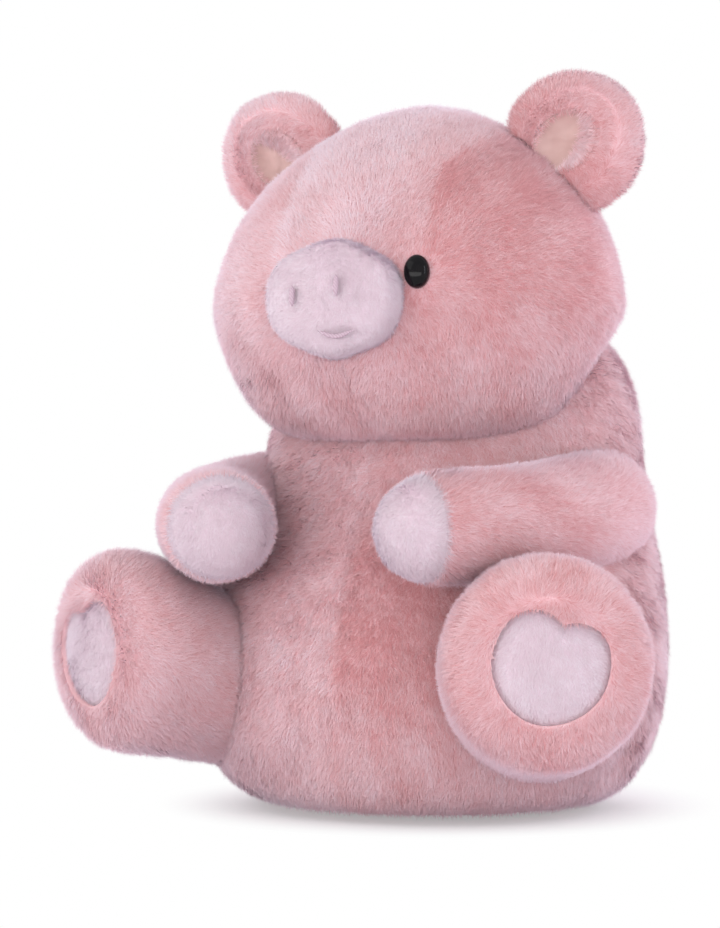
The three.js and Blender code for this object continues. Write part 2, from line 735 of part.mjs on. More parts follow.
// The pad's outline, a rounded heart whose notch is at the top.
function soleOutline(amount) {
  const half = solePad.halfWidth + amount;
  const top = solePad.height / 2 + amount;
  const bottom = -top;
  const outline = new THREE.Shape();
  const dip = top - solePad.notch;
  outline.moveTo(0, dip);
  outline.bezierCurveTo(solePad.notchHalf, top, half, top, half, 0);
  outline.bezierCurveTo(half, bottom / 2, half / 2, bottom, 0, bottom);
  outline.bezierCurveTo(-half / 2, bottom, -half, bottom / 2, -half, 0);
  outline.bezierCurveTo(-half, top, -solePad.notchHalf, top, 0, dip);
  return outline;
}

function buildLegs() {
  const frame = legFrame();
  const form = legForm(middling);
  const plainForm = legForm(plain);
  const outer = solid(turned(form, frame));
  const inner = solid(turned(grown(plainForm, -pileSkin), frame));
  const filling = solid(turned(grown(plainForm, -pileSkin - stuffingGap), frame));
  const past = [
    ...sweptPast(grown(pear(fine), seamGap), hipPivot, zAxis, 0, moves.hip),
    solid(hipSeat(1, movingGap, 1 / Math.cos(Math.PI / seatSides))),
  ];
  const prism = (amount) => {
    const depth = leg.length / 2;
    const outline = new THREE.ExtrudeGeometry(soleOutline(amount), {
      depth,
      bevelEnabled: false,
      curveSegments: curveParts,
    });
    outline.rotateZ(radians(-soleFit.turn)).translate(0, solePad.up, leg.length - leg.behind - depth / 2);
    return solid(turned(outline, frame));
  };
  const level = (depth) => solid(turned(grown(form, -depth), frame));
  const padBack = soleFit.recess + soleFit.thick;
  const recess = prism(seamGap).subtract(level(padBack + seamGap));
  const pad = prism(0).intersect(level(soleFit.recess)).subtract(level(padBack));
  const skin = without(outer.subtract(inner), [recess, ...past]);
  const stuffing = without(filling, past);
  for (const { word, sign } of bothSides) {
    const pivot = across(hipPivot, sign);
    const group = groupAt(pig, new THREE.Vector3(), pivot);
    const add = (name, made, material) =>
      addPiece(group, pivot, `${name}_${word}`, sided(geometryOf(made), sign), material);
    add("leg_skin", skin, materials.plush);
    add("leg_stuffing", stuffing, materials.stuffing);
    add("sole_pad", pad, materials.palePlush);
  }
}
// Tail: a tapered tube that curls once.

function tailForm(root) {
  const count = tailShares.length;
  const steps = count - 1;
  const centre = (t) => {
    const turn = 2 * Math.PI * tail.turns * t;
    const out = tail.curl * (1 - (1 - t) ** 2);
    const across = out * Math.sin(turn);
    const up = tail.rise * t + out * (1 - Math.cos(turn));
    return new THREE.Vector3(across, tail.reach * t, up).add(root);
  };
  const rings = tailShares.map((share, i) => {
    const t = i / steps;
    const along = centre(t + 1 / cutSpan).sub(centre(t - 1 / cutSpan));
    const frame = frameAlong(centre(t), along, zAxis);
    return Array.from({ length: small.sides }, (_, side) => {
      const turn = (2 * Math.PI * side) / small.sides;
      const reach = tail.radius * share;
      return new THREE.Vector3(reach * Math.cos(turn), reach * Math.sin(turn), 0).applyMatrix4(frame);
    });
  });
  return closedForm(centre(0), rings, centre(1 + 1 / (2 * steps)));
}

function buildTail() {
  const inside = new THREE.Vector3(0, 0, tailRoot.up);
  const { point } = outsideOf(pear(fine), inside, yAxis);
  const root = point.clone().addScaledVector(yAxis, -tailRoot.rooted);
  const cutters = sweptPast(grown(pear(fine), seamGap), point, zAxis, -moves.tail, moves.tail);
  const piece = without(solid(tailForm(root)), cutters);
  const group = groupAt(pig, new THREE.Vector3(), point);
  addPiece(group, point, "tail", geometryOf(piece), materials.plush);
}

buildBody();
buildHead();
buildArms();
buildLegs();
buildTail();

export default pig;
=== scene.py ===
"""A seated plush pig: its cloth, pile, lining and eyes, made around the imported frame.

Every length is in metres, in the frame's own axes: +Z up, the pig faces -Y, its left side is +X.
The soft outlines repeat the part's own tables, so each piece has the form of the node it replaces.
Sizes in the tables are millimetres, and each outline is measured over the tips of the pile.
"""

import json
import math
from types import SimpleNamespace as Sizes

import bpy
import numpy as np
from mathutils import Matrix, Vector


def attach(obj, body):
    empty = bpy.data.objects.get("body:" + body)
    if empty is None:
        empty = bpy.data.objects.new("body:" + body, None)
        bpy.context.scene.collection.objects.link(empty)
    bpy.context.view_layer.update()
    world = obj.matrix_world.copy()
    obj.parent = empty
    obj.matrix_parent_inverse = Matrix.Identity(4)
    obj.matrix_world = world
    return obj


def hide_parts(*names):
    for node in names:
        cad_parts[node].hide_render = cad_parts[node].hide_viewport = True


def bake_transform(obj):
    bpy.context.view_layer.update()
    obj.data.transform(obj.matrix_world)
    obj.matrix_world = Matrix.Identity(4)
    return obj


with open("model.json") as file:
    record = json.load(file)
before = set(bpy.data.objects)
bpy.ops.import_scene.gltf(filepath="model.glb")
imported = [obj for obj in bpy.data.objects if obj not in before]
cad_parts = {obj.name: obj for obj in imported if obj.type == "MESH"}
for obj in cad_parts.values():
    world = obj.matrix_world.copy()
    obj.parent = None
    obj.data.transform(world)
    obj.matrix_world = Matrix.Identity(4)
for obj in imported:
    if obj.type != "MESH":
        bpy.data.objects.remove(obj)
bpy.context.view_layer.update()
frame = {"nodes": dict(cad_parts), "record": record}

MM = 0.001
draw = np.random.RandomState(20)

# Outlines: how far along, half width, and reach to either side, as shares of a form's sizes.
BODY_SHARES = [
    (0, 0, 0.08, -0.098), (0, 0.53, 0.59, 0.53), (0.012, 0.7, 0.755, 0.69), (0.058, 0.855, 0.91, 0.82),
    (0.157, 0.965, 0.99, 0.905), (0.284, 1, 1, 0.95), (0.416, 0.97, 0.91, 0.975),
    (0.538, 0.895, 0.755, 0.99), (0.652, 0.83, 0.62, 1), (0.755, 0.8, 0.52, 0.99),
    (0.849, 0.735, 0.41, 0.94), (0.925, 0.6, 0.275, 0.82), (0.977, 0.38, 0.09, 0.61),
    (1, 0, -0.216, 0.265),
]
HEAD_SHARES = [
    (0, 0, 0, 0), (0.007, 0.4, 0.46, 0.25), (0.03, 0.575, 0.66, 0.36), (0.081, 0.72, 0.78, 0.47),
    (0.156, 0.82, 0.88, 0.6), (0.267, 0.92, 0.975, 0.79), (0.393, 1, 1, 0.98),
    (0.526, 0.965, 0.973, 0.985), (0.659, 0.872, 0.877, 0.942), (0.793, 0.71, 0.69, 0.84),
    (0.911, 0.453, 0.41, 0.638), (0.978, 0.21, 0.12, 0.34), (1, 0, -0.11, 0.116),
]
SNOUT_SHARES = [
    (0, 0, 0, 0), (0.06, 0.5, 0.5, 0.5), (0.3, 0.94, 0.94, 0.94), (0.55, 1, 1, 1),
    (0.78, 0.95, 0.95, 0.95), (0.92, 0.72, 0.72, 0.72), (0.98, 0.4, 0.4, 0.4), (1, 0, 0, 0),
]
ARM_SHARES = [
    (0, 0, 0, 0), (0.03, 0.5, 0.5, 0.5), (0.1, 0.87, 0.87, 0.87), (0.2, 1.02, 1.02, 1.02),
    (0.36, 1, 1, 1), (0.55, 0.96, 0.96, 0.95), (0.73, 0.95, 0.93, 0.95), (0.84, 0.93, 0.9, 0.94),
    (0.92, 0.79, 0.77, 0.8), (0.975, 0.5, 0.5, 0.5), (1, 0, 0, 0),
]
LEG_SHARES = [
    (0, 0, 0, 0), (0.05, 0.45, 0.5, 0.3), (0.18, 0.74, 0.93, 0.52), (0.34, 0.86, 0.98, 0.62),
    (0.5, 0.92, 0.9, 0.74), (0.67, 0.98, 0.78, 0.91), (0.8, 1, 0.71, 1), (0.9, 0.94, 0.62, 0.97),
    (0.96, 0.77, 0.39, 0.84), (0.985, 0.45, 0.03, 0.62), (1, 0, -0.58, 0.32),
]
EAR_SHARES = [
    (0, 0, 0, 0), (0.06, 0.65, 0.6, 0.6), (0.2, 0.95, 0.9, 0.9), (0.4, 1.03, 1, 1), (0.58, 1, 1, 1),
    (0.75, 0.85, 0.9, 0.9), (0.89, 0.58, 0.7, 0.7), (0.97, 0.3, 0.38, 0.38), (1, 0, 0, 0),
]
TAIL_SHARES = [1, 1, 1, 1, 0.98, 0.96, 0.93, 0.9, 0.86, 0.82, 0.77, 0.7, 0.6, 0.42]

BODY = Sizes(height=212, half=100, front=102, back=86, cut=0.5)
HEAD = Sizes(height=142, half=88, front=73.5, back=70, forward=42)
SNOUT = Sizes(length=33, half=28.4, below=23.5, above=23.5, proud=16, lift=56.6)
ARM = Sizes(length=165, behind=22, half=25.4, below=24.6, above=25)
LEG = Sizes(length=122, behind=26, half=40.8, below=33, above=60.4)
EAR = Sizes(length=54, rooted=14, half=30, front=12, back=12)
TAIL = Sizes(reach=27, radius=5.2, curl=8.5, turns=1.15, rise=4, up=50, rooted=6)
SHOULDER = (67, 8, 123.4)
ARM_TURN = Sizes(outward=19.5, drop=5, bend=58, over=115)
HIP = (56, -35, 47)
LEG_SPLAY = 28
EAR_PLACE = Sizes(up=116, back=4.6)
# How far an ear is lifted and leans back, in degrees, and its share of the width.
EAR_TURN = dict(left=(41, 8, 1), right=(44, -4, 0.93))
EYE_PLACE = Sizes(out=31.5, up=66.7, sink=2.5)
EYE = Sizes(half=5, tall=6.5, dome=3.8, rim=1.2)
# How much deeper an eye is pulled in, how much of its oval the pile leaves clear, and its shift inward.
EYE_PULL = dict(left=(0, 1.0, 0), right=(3.2, 0.75, 1.8))
NOSTRILS = ((7.5, 4.0), (-11.5, 0.5))
MOUTH = (6.5, -15)
# How far along the arm its pad starts.
PAD_FROM = 123
# How far two joints turn, in degrees: their pieces are cut clear of the neighbour that they move against.
MOVES = Sizes(shoulder=(0, 12), ear=(-10, 10))
NECK = (0, 22.411, 147)
SIDES = (("left", 1), ("right", -1))

# How deep the cloth lies under the tips of the pile, and how deep a neighbour lies that cuts it.
PILE, EAR_PILE, SHORT_PILE = 2.8, 2.5, 1.9
CUT_DEPTH = 1.6
# The two coats of fibres, short and straight, and longer with a bend: how many stand on a square millimetre,
# their length over the pile's depth, how much more upright they are, their width, and how far they stray.
COATS = dict(
    under=Sizes(each=4.0, long=1.35, upright=0, width=0.24, stray=1, bent=False),
    top=Sizes(each=0.8, long=1.6, upright=0.05, width=0.2, stray=0.85, bent=True),
)
PALE_WIDTH = 0.8
# Patches in the pile, each as a strength, a size in millimetres and a step of the seed.
SWIRL = ((0.35, 26, 0), (0.25, 6, 1))
UNEVEN = ((0.1, 14, 2), (0.08, 4, 5))
LENGTHS = ((0.06, 9, 3),)
MOTTLE = ((0.35, 24, 4), (0.3, 5, 6))
# How far single fibres differ: in tilt, length, roll, width and tone.
SPREAD = Sizes(tilt=0.16, long=(0.8, 1.12), roll=(-0.3, 0.3), width=(0.7, 1.25), tone=0.55)
TILTS, BENT_BY, MOST_BENT, WAIST = (0.1, 1.3), 0.3, 1.4, 0.8
# Where one tone gives way to the next, by how many tones there are, and how a fibre's shading faces.
TONE_STEPS = {6: (-1.5, -0.9, -0.25, 0.5, 1.25), 3: (-0.4, 0.5)}
FACING = Sizes(skin=0.85, blade=0.2, way=0.06)
OFF_FLOOR = 0.4
MOST_FACES = 190000
DETAIL = 1.0


def lerp(a, b, t):
    return a + (b - a) * t


def ease(value, low, high):
    """How far a value has gone from low to high, from 0 to 1."""
    return np.clip((value - low) / (high - low), 0, 1)


def rise(value, low, high):
    """The same, for a value in metres and bounds in millimetres."""
    return ease(value, low * MM, high * MM)


def dent(*ways):
    """A smooth dip, 1 deep, from distances in metres, each with the dip's half width in millimetres."""
    return np.exp(-sum((away / (width * MM)) ** 2 for away, width in ways))


def columns(*values):
    return np.stack(values, 1)


def full_turn(sides):
    return 2 * math.pi * np.arange(sides) / sides


def unit(v):
    return v / np.maximum(np.linalg.norm(v, axis=-1, keepdims=True), 1e-12)


def smooth_rows(shares, sizes, steps):
    """The rows, in metres, with more rows between them on one smooth curve."""
    rows = np.array(shares, float) * np.array(sizes) * MM
    first, last = 2 * rows[0] - rows[1], 2 * rows[-1] - rows[-2]
    first[0], last[0] = rows[1][0], rows[-2][0]
    full = np.vstack([first, rows, last])
    made = []
    for i in range(1, len(full) - 2):
        a, b, c, d = full[i - 1 : i + 3]
        t = (np.arange(steps) / steps)[:, None]
        slope, next_slope, change = (c - a) / 2, (d - b) / 2, c - b
        bend = 3 * change - 2 * slope - next_slope
        twist = slope + next_slope - 2 * change
        made.append(b + slope * t + bend * t**2 + twist * t**3)
    made.append(rows[-1:])
    return np.vstack(made)


def frame_along(origin, along, upward):
    z = unit(np.array(along, float))
    x = unit(np.cross(np.array(upward, float), z))
    made = np.eye(4)
    made[:3, 0], made[:3, 1], made[:3, 2], made[:3, 3] = x, np.cross(z, x), z, origin
    return made


def place(matrix, points):
    return points @ matrix[:3, :3].T + matrix[:3, 3]


def ripple(points, scale, seed, waves=9):
    """A smooth value between about -1 and 1 over space, with features of a size in metres."""
    pick = np.random.RandomState(seed)
    ways = unit(pick.normal(size=(waves, 3))) * 2 * math.pi / (scale * pick.uniform(0.7, 1.5, (waves, 1)))
    total = np.sin(points @ ways.T + pick.uniform(0, 2 * math.pi, waves)).sum(1)
    return total / math.sqrt(waves / 2) / 1.6


class Cloth:
    """A closed skin through rings of equally many points, with a point at either end, facing out."""

    def __init__(self, rings, first, last):
        sides = len(rings[0])
        self.points = np.vstack([first, *rings, last])
        side = np.arange(sides)
        after = (side + 1) % sides
        starts = 1 + sides * np.arange(len(rings) - 1)[:, None]
        quads = [starts + side, starts + after, starts + sides + after, starts + sides + side]
        self.quads = np.stack(quads, 2).reshape(-1, 4)
        end = len(self.points) - 1
        low = np.stack([0 * side, 1 + after, 1 + side], 1)
        high = np.stack([0 * side + end, end - sides + side, end - sides + after], 1)
        self.caps = np.vstack([low, high])
        a, b, c = self.corners()
        if (np.cross(a, b) * c).sum() < 0:
            self.quads, self.caps = self.quads[:, ::-1], self.caps[:, ::-1]
        self.find_normals()

    def triangles(self):
        return np.vstack([self.quads[:, :3], self.quads[:, [0, 2, 3]], self.caps])

    def corners(self):
        tri = self.triangles()
        centred = self.points - self.points.mean(0)
        return (centred[tri[:, i]] for i in range(3))

    def find_normals(self):
        tri = self.triangles()
        a, b, c = self.corners()
        facing = np.cross(b - a, c - a)
        total = np.zeros_like(self.points)
        for corner in range(3):
            np.add.at(total, tri[:, corner], facing)
        self.normals = unit(total)

    def inset(self, depth):
        """The same skin moved in by a depth in millimetres, one for all or one for each point."""
        self.points = self.points - self.normals * np.reshape(depth, (-1, 1)) * MM
        self.find_normals()
        return self

    def area(self):
        a, b, c = self.corners()
        return np.linalg.norm(np.cross(b - a, c - a), axis=1).sum() / 2

    def scatter(self, count):
        """Evenly spread points on the skin, with the way that each faces."""
        tri = self.triangles()
        a, b, c = (self.points[tri[:, i]] for i in range(3))
        steps = np.cumsum(np.linalg.norm(np.cross(b - a, c - a), axis=1))
        spots = (np.arange(count) + draw.uniform(size=count)) / count * steps[-1]
        pick = np.minimum(np.searchsorted(steps, spots), len(tri) - 1)
        u, v = draw.uniform(size=count), draw.uniform(size=count)
        u, v = np.where(u + v > 1, 1 - u, u)[:, None], np.where(u + v > 1, 1 - v, v)[:, None]
        roots = a[pick] * (1 - u - v) + b[pick] * u + c[pick] * v
        na, nb, nc = (self.normals[tri[pick, i]] for i in range(3))
        return roots, unit(na * (1 - u - v) + nb * u + nc * v)


class Form:
    """A closed form that swells and tapers along its own axis, and may be bent sideways."""

    def __init__(self, shares, sizes, matrix, behind=0.0, bend=None, shape=None):
        self.table = smooth_rows(shares, sizes, 8)
        self.table[:, 0] -= behind * MM
        self.matrix, self.bend, self.shape = matrix, bend, shape

    def bent(self, p):
        if not self.bend:
            return p
        radius, most = self.bend
        turn = np.clip(p[:, 2] / radius, 0, most)
        straight = p[:, 2] - turn * radius
        reach = radius + p[:, 0]
        x = reach * np.cos(turn) - radius - straight * np.sin(turn)
        return columns(x, p[:, 1], reach * np.sin(turn) + straight * np.cos(turn))

    def straight(self, p):
        if not self.bend:
            return p
        radius, most = self.bend
        out = p[:, 0] + radius
        turn = np.clip(np.arctan2(p[:, 2], out), 0, most)
        x = out * np.cos(turn) + p[:, 2] * np.sin(turn) - radius
        z = turn * radius - out * np.sin(turn) + p[:, 2] * np.cos(turn)
        return columns(x, p[:, 1], z)

    def local(self, points):
        return self.straight((points - self.matrix[:3, 3]) @ self.matrix[:3, :3])

    def ways(self, local):
        """Ways in space, from ways in the form's own axes."""
        return local @ self.matrix[:3, :3].T

    def row(self, z):
        """The half width and both reaches at a height along the form."""
        return (np.interp(z, self.table[:, 0], self.table[:, i]) for i in (1, 2, 3))

    def depth(self, points):
        """How deep points lie inside the form, roughly, and less than nothing outside it."""
        p = self.local(points)
        width, low, high = self.row(p[:, 2])
        reach = np.maximum((low + high) / 2, 1e-6)
        across = np.hypot(p[:, 0] / np.maximum(width, 1e-6), (p[:, 1] - (high - low) / 2) / reach)
        side = (1 - across) * np.minimum(width, reach)
        ends = np.minimum(p[:, 2] - self.table[0, 0], self.table[-1, 0] - p[:, 2])
        return np.minimum(side, ends)

    def cloth(self, sides, inset, start=None, end=None, every=2):
        """The form's skin, moved in by inset, whole or cut off square at either end."""
        rows = self.table[::every]
        if (len(self.table) - 1) % every:
            rows = np.vstack([rows, self.table[-1:]])
        if start is not None:
            start *= MM
            rows = np.vstack([[start, *self.row(start)], rows[rows[:, 0] > start]])
        if end is not None:
            end *= MM
            rows = np.vstack([rows[rows[:, 0] < end], [end, *self.row(end)]])
        inside = rows[(start is None) : len(rows) - (end is None)]
        turn = full_turn(sides)
        mid, reach = (inside[:, 3] - inside[:, 2]) / 2, (inside[:, 3] + inside[:, 2]) / 2
        x = inside[:, 1:2] * np.cos(turn)
        y = mid[:, None] + reach[:, None] * np.sin(turn)
        z = np.repeat(inside[:, :1], sides, 1)
        poles = [np.array([[0, (r[3] - r[2]) / 2, r[0]]]) for r in (rows[0], rows[-1])]
        rings = [self.finished(ring) for ring in np.stack([x, y, z], 2)]
        made = Cloth(rings, *(self.finished(pole) for pole in poles))
        # A cut end stays where it is: its rim moves in with the side next to it.
        if start is not None:
            made.normals[0] = 0
            made.normals[1 : 1 + sides] = made.normals[1 + sides : 1 + 2 * sides]
        if end is not None:
            made.normals[-1] = 0
            made.normals[-1 - sides : -1] = made.normals[-1 - 2 * sides : -1 - sides]
        return made.inset(inset(self.local(made.points)[:, 2] / MM) if callable(inset) else inset)

    def finished(self, points):
        if self.shape:
            points = self.shape(points)
        return place(self.matrix, self.bent(points))


def mesh_object(name, points, faces, materials=(), picks=None, facing=None):
    """A mesh of triangles or quads, written straight from arrays."""
    mesh = bpy.data.meshes.new(name)
    mesh.vertices.add(len(points))
    mesh.vertices.foreach_set("co", np.ascontiguousarray(points, np.float32).ravel())
    sizes = np.concatenate([np.full(len(f), f.shape[1]) for f in faces])
    loops = np.concatenate([f.ravel() for f in faces]).astype(np.int32)
    mesh.loops.add(len(loops))
    mesh.loops.foreach_set("vertex_index", loops)
    mesh.polygons.add(len(sizes))
    mesh.polygons.foreach_set("loop_start", np.concatenate([[0], np.cumsum(sizes)[:-1]]).astype(np.int32))
    mesh.polygons.foreach_set("use_smooth", np.ones(len(sizes), bool))
    if picks is not None:
        mesh.polygons.foreach_set("material_index", picks.astype(np.int32))
    mesh.update(calc_edges=True)
    mesh.validate()
    if facing is not None:
        mesh.normals_split_custom_set_from_vertices(facing.astype(np.float32))
    for material in materials:
        mesh.materials.append(material)
    made = bpy.data.objects.new(name, mesh)
    bpy.context.scene.collection.objects.link(made)
    return made


def cloth_object(name, cloth, material=None):
    return mesh_object(name, cloth.points, [cloth.quads, cloth.caps], [material] if material else [])


def cut_away(piece, cutters):
    """Cuts the cutters out of the piece's mesh, and removes them."""
    for cutter in cutters:
        cut = piece.modifiers.new("cut", "BOOLEAN")
        cut.operation, cut.solver, cut.object = "DIFFERENCE", "MANIFOLD", cutter
    bpy.context.view_layer.update()
    made = bpy.data.meshes.new_from_object(piece.evaluated_get(bpy.context.evaluated_depsgraph_get()))
    piece.modifiers.clear()
    old, piece.data = piece.data, made
    bpy.data.meshes.remove(old)
    made.shade_smooth()
    for cutter in cutters:
        bpy.data.objects.remove(cutter)


def swept(cloth, pivot, axis, low, high):
    """Cutters of a neighbour's skin, as a piece that turns about an axis meets it."""
    pivot = np.array(pivot, float) * MM
    made = []
    for angle in (low, (low + high) / 2, high):
        turn = np.array(Matrix.Rotation(math.radians(-angle), 3, Vector(axis)))
        points = (cloth.points - pivot) @ turn.T + pivot
        made.append(mesh_object("cutter", points, [cloth.quads, cloth.caps]))
    return made


def turned_form(profile, sides, centre, low, high):
    """A closed skin turned about an upright axis, from its lowest point up."""
    turn = full_turn(sides)
    rings = [columns(r * np.cos(turn), r * np.sin(turn), 0 * turn + h) + centre for r, h in profile]
    return Cloth(rings, *(np.array([[0, 0, h]]) + centre for h in (low, high)))


class Nodes:
    """A node tree, built by name."""

    def __init__(self, tree):
        self.tree = tree

    def give(self, node, **values):
        for key, value in values.items():
            if hasattr(node, key):
                setattr(node, key, value)
            else:
                node.inputs[key.replace("_", " ")].default_value = value
        return node

    def add(self, kind, **values):
        return self.give(self.tree.nodes.new(kind), **values)

    def link(self, a, b):
        self.tree.links.new(a, b)

    def fed(self, kind, *sources, **values):
        """What a new node gives, its first inputs linked to the sources."""
        node = self.add(kind, **values)
        for source, target in zip(sources, node.inputs):
            self.link(source, target)
        return node.outputs[0]

    def greatest(self, best, *values):
        for value in values:
            best = self.fed("ShaderNodeMath", best, value, operation="MAXIMUM")
        return best


class Finish(Nodes):
    """A material."""

    def __init__(self, name):
        self.material = bpy.data.materials.new(name)
        self.material.use_nodes = True
        super().__init__(self.material.node_tree)
        self.shader = self.tree.nodes["Principled BSDF"]

    def place_of(self):
        return self.add("ShaderNodeTexCoord").outputs["Object"]

    def noise(self, scale, detail=3.0, rough=0.55):
        node = self.add("ShaderNodeTexNoise", Scale=scale, Detail=detail, Roughness=rough)
        self.link(self.place_of(), node.inputs["Vector"])
        return node.outputs["Fac"]

    def bands(self, scale, distortion=0.0):
        node = self.add("ShaderNodeTexWave", wave_type="BANDS", bands_direction="DIAGONAL")
        self.give(node, Scale=scale, Distortion=distortion)
        self.link(self.place_of(), node.inputs["Vector"])
        return node.outputs["Fac"]

    def colour(self, value, low, high, low_at=0.3, high_at=0.7):
        """The base colour, from one tone to another as a value rises."""
        node = self.add("ShaderNodeValToRGB")
        for element, spot, tone in zip(node.color_ramp.elements, (low_at, high_at), (low, high)):
            element.position, element.color = spot, (*tone, 1)
        self.link(value, node.inputs["Fac"])
        self.link(node.outputs["Color"], self.shader.inputs["Base Color"])

    def bump(self, height, strength, distance, under=None):
        node = self.add("ShaderNodeBump", Strength=strength, Distance=distance)
        self.link(height, node.inputs["Height"])
        if under is not None:
            self.link(under, node.inputs["Normal"])
        self.link(node.outputs["Normal"], self.shader.inputs["Normal"])
        return node.outputs["Normal"]

    def set(self, **values):
        self.give(self.shader, **values)


def linear(red, green, blue):
    """A colour as it is seen, from 0 to 255, as the shader needs it."""
    shares = (red / 255, green / 255, blue / 255)
    return tuple(c / 12.92 if c <= 0.04045 else ((c + 0.055) / 1.055) ** 2.4 for c in shares)


def felt(name, dark, light, grain=900.0, bump=0.5):
    """The cloth that the pile grows from: mottled, with the bumps of its tufts."""
    made = Finish(name)
    made.colour(made.noise(38.0, 4.0), dark, light)
    made.bump(made.noise(grain, 2.0, 0.7), bump, 0.0008)
    made.set(Roughness=0.95, Specular_IOR_Level=0.1, Sheen_Weight=0.3, Sheen_Roughness=0.6)
    made.set(Sheen_Tint=(*light, 1))
    return made.material


def fibre(name, colour):
    """One tone of the pile's fibres."""
    made = Finish(name)
    made.set(Base_Color=(*colour, 1), Roughness=0.9, Specular_IOR_Level=0.1)
    made.set(Sheen_Weight=0.9, Sheen_Roughness=0.5, Sheen_Tint=(*linear(238, 228, 244), 1))
    return made.material


# The tones of the two piles, from deep to pale.
PINK_TONES = dict(
    rose=(226, 158, 160), deep=(234, 180, 182), root=(240, 195, 198), mid=(244, 206, 210),
    tip=(247, 216, 221), pale=(249, 228, 235),
)
PALE_TONES = dict(root=(237, 218, 226), mid=(241, 225, 232), tip=(245, 233, 240))
PINK_CLOTH = felt("pink_cloth", linear(232, 182, 187), linear(240, 196, 201))
PALE_CLOTH = felt("pale_cloth", linear(236, 214, 224), linear(244, 226, 236), 1400.0, 0.35)
PINK_FIBRES = [fibre(f"pink_{word}", linear(*tone)) for word, tone in PINK_TONES.items()]
PALE_FIBRES = [fibre(f"pale_{word}", linear(*tone)) for word, tone in PALE_TONES.items()]


def satin_material():
    made = Finish("tan_satin")
    folds_and_painted_shade = made.noise(70.0, 2.0)
    # The satin is darker where its folds dip: painted shade in the fold hollows.
    made.colour(folds_and_painted_shade, linear(204, 166, 160), linear(224, 190, 184))
    soft = made.bump(folds_and_painted_shade, 0.5, 0.002)
    made.bump(made.bands(900.0, 0.6), 0.15, 0.0002, soft)
    made.set(Roughness=0.5, Specular_IOR_Level=0.4, Sheen_Weight=0.3, Sheen_Roughness=0.3)
    return made.material


def eye_material():
    made = Finish("eye_gloss")
    made.colour(made.noise(300.0, 2.0), (0.002, 0.002, 0.003), (0.006, 0.005, 0.006))
    made.set(Roughness=0.1, Specular_IOR_Level=0.18)
    return made.material


def thread_material():
    made = Finish("thread")
    twist = made.bands(420.0)
    # The thread is darker in the grooves of its twist: painted shade.
    made.colour(twist, linear(194, 168, 181), linear(208, 186, 198), 0.2, 0.8)
    made.bump(twist, 0.5, 0.0003)
    made.set(Roughness=0.8, Specular_IOR_Level=0.2)
    return made.material


def inner_material(name, dark, light, rough):
    made = Finish(name)
    made.colour(made.noise(120.0), dark, light)
    made.bump(made.noise(500.0), 0.3, 0.0006)
    made.set(Roughness=rough, Specular_IOR_Level=0.3)
    return made.material


SATIN, GLOSS = satin_material(), eye_material()
INNER = {
    "stuffing": inner_material("filling", linear(228, 226, 220), linear(246, 245, 241), 0.95),
    "pouch": inner_material("pouch", linear(214, 206, 190), linear(234, 228, 216), 0.9),
    "washer": inner_material("washer", linear(222, 222, 216), linear(238, 238, 233), 0.5),
    "thread": thread_material(),
}


def shift(x, y, z):
    made = np.eye(4)
    made[:3, 3] = np.array([x, y, z]) * MM
    return made


def mirror(matrix, sign):
    return np.diag([sign, 1, 1, 1]) @ matrix


BODY_SIZES = (BODY.height + BODY.cut, BODY.half, BODY.front, BODY.back)
PEAR = Form(BODY_SHARES, BODY_SIZES, shift(0, 0, -BODY.cut))
# A hip's swelling, over the leg's half width, and the belly's seam in millimetres.
HIP_BALL = Sizes(half=1.08, tall=0.93)
BELLY_SEAM = Sizes(half=2.6, depth=1.5, rises=(10, 40), clear=30)


def body_shape(points):
    """The pear with its two hips, and the sewn line down the belly."""
    x, y, z = points.T
    width, low, high = PEAR.row(z)
    mid = (high - low) / 2
    out = np.hypot(x, y - mid)
    way_x, way_y = x / np.maximum(out, 1e-9), (y - mid) / np.maximum(out, 1e-9)
    best = out.copy()
    radius, tall = LEG.half * HIP_BALL.half * MM, LEG.half * HIP_BALL.tall * MM
    ball = radius * np.sqrt(np.clip(1 - ((z - HIP[2] * MM) / tall) ** 2, 0, 1))
    for _, sign in SIDES:
        cx, cy = sign * HIP[0] * MM, HIP[1] * MM - mid
        along = cx * way_x + cy * way_y
        inside = ball**2 - (cx**2 + cy**2 - along**2)
        hit = np.where((inside > 0) & (ball > 0), along + np.sqrt(np.maximum(inside, 0)), 0)
        best = np.maximum(best, hit)
    best = np.where(out > 1e-6, best, out)
    seam = dent((x, BELLY_SEAM.half)) * (y < 0) * rise(z, *BELLY_SEAM.rises)
    best = best - BELLY_SEAM.depth * MM * seam * (out > BELLY_SEAM.clear * MM)
    return columns(best * way_x, mid + best * way_y, z)


BODY_FORM = Form(BODY_SHARES, BODY_SIZES, shift(0, 0, -BODY.cut), shape=body_shape)
HEAD_SIZES = (HEAD.height, HEAD.half, HEAD.front, HEAD.back)
HEAD_BASE = (0, NECK[1] - HEAD.forward, NECK[2])
# The forehead's panel: its half width at heights over the head's base.
PANEL_UP = (75, 90, 107, 117, 122, 127)
PANEL_OUT = (33, 31, 29, 33, 37, 42)
# Each sewn line's half width, its depth, and where on the head it fades.
BROW = Sizes(half=2.4, depth=0.8, behind=10, rises=(76, 92))
CHIN = Sizes(half=2.4, depth=1.6, front=-20, falls=(-40, -28))
PUCKER = Sizes(half=5, depth=3.0, up=6)


def from_panel(x, z):
    """How far outside the forehead's panel a spot lies, in millimetres."""
    return np.abs(x) / MM - np.interp(z / MM, PANEL_UP, PANEL_OUT)


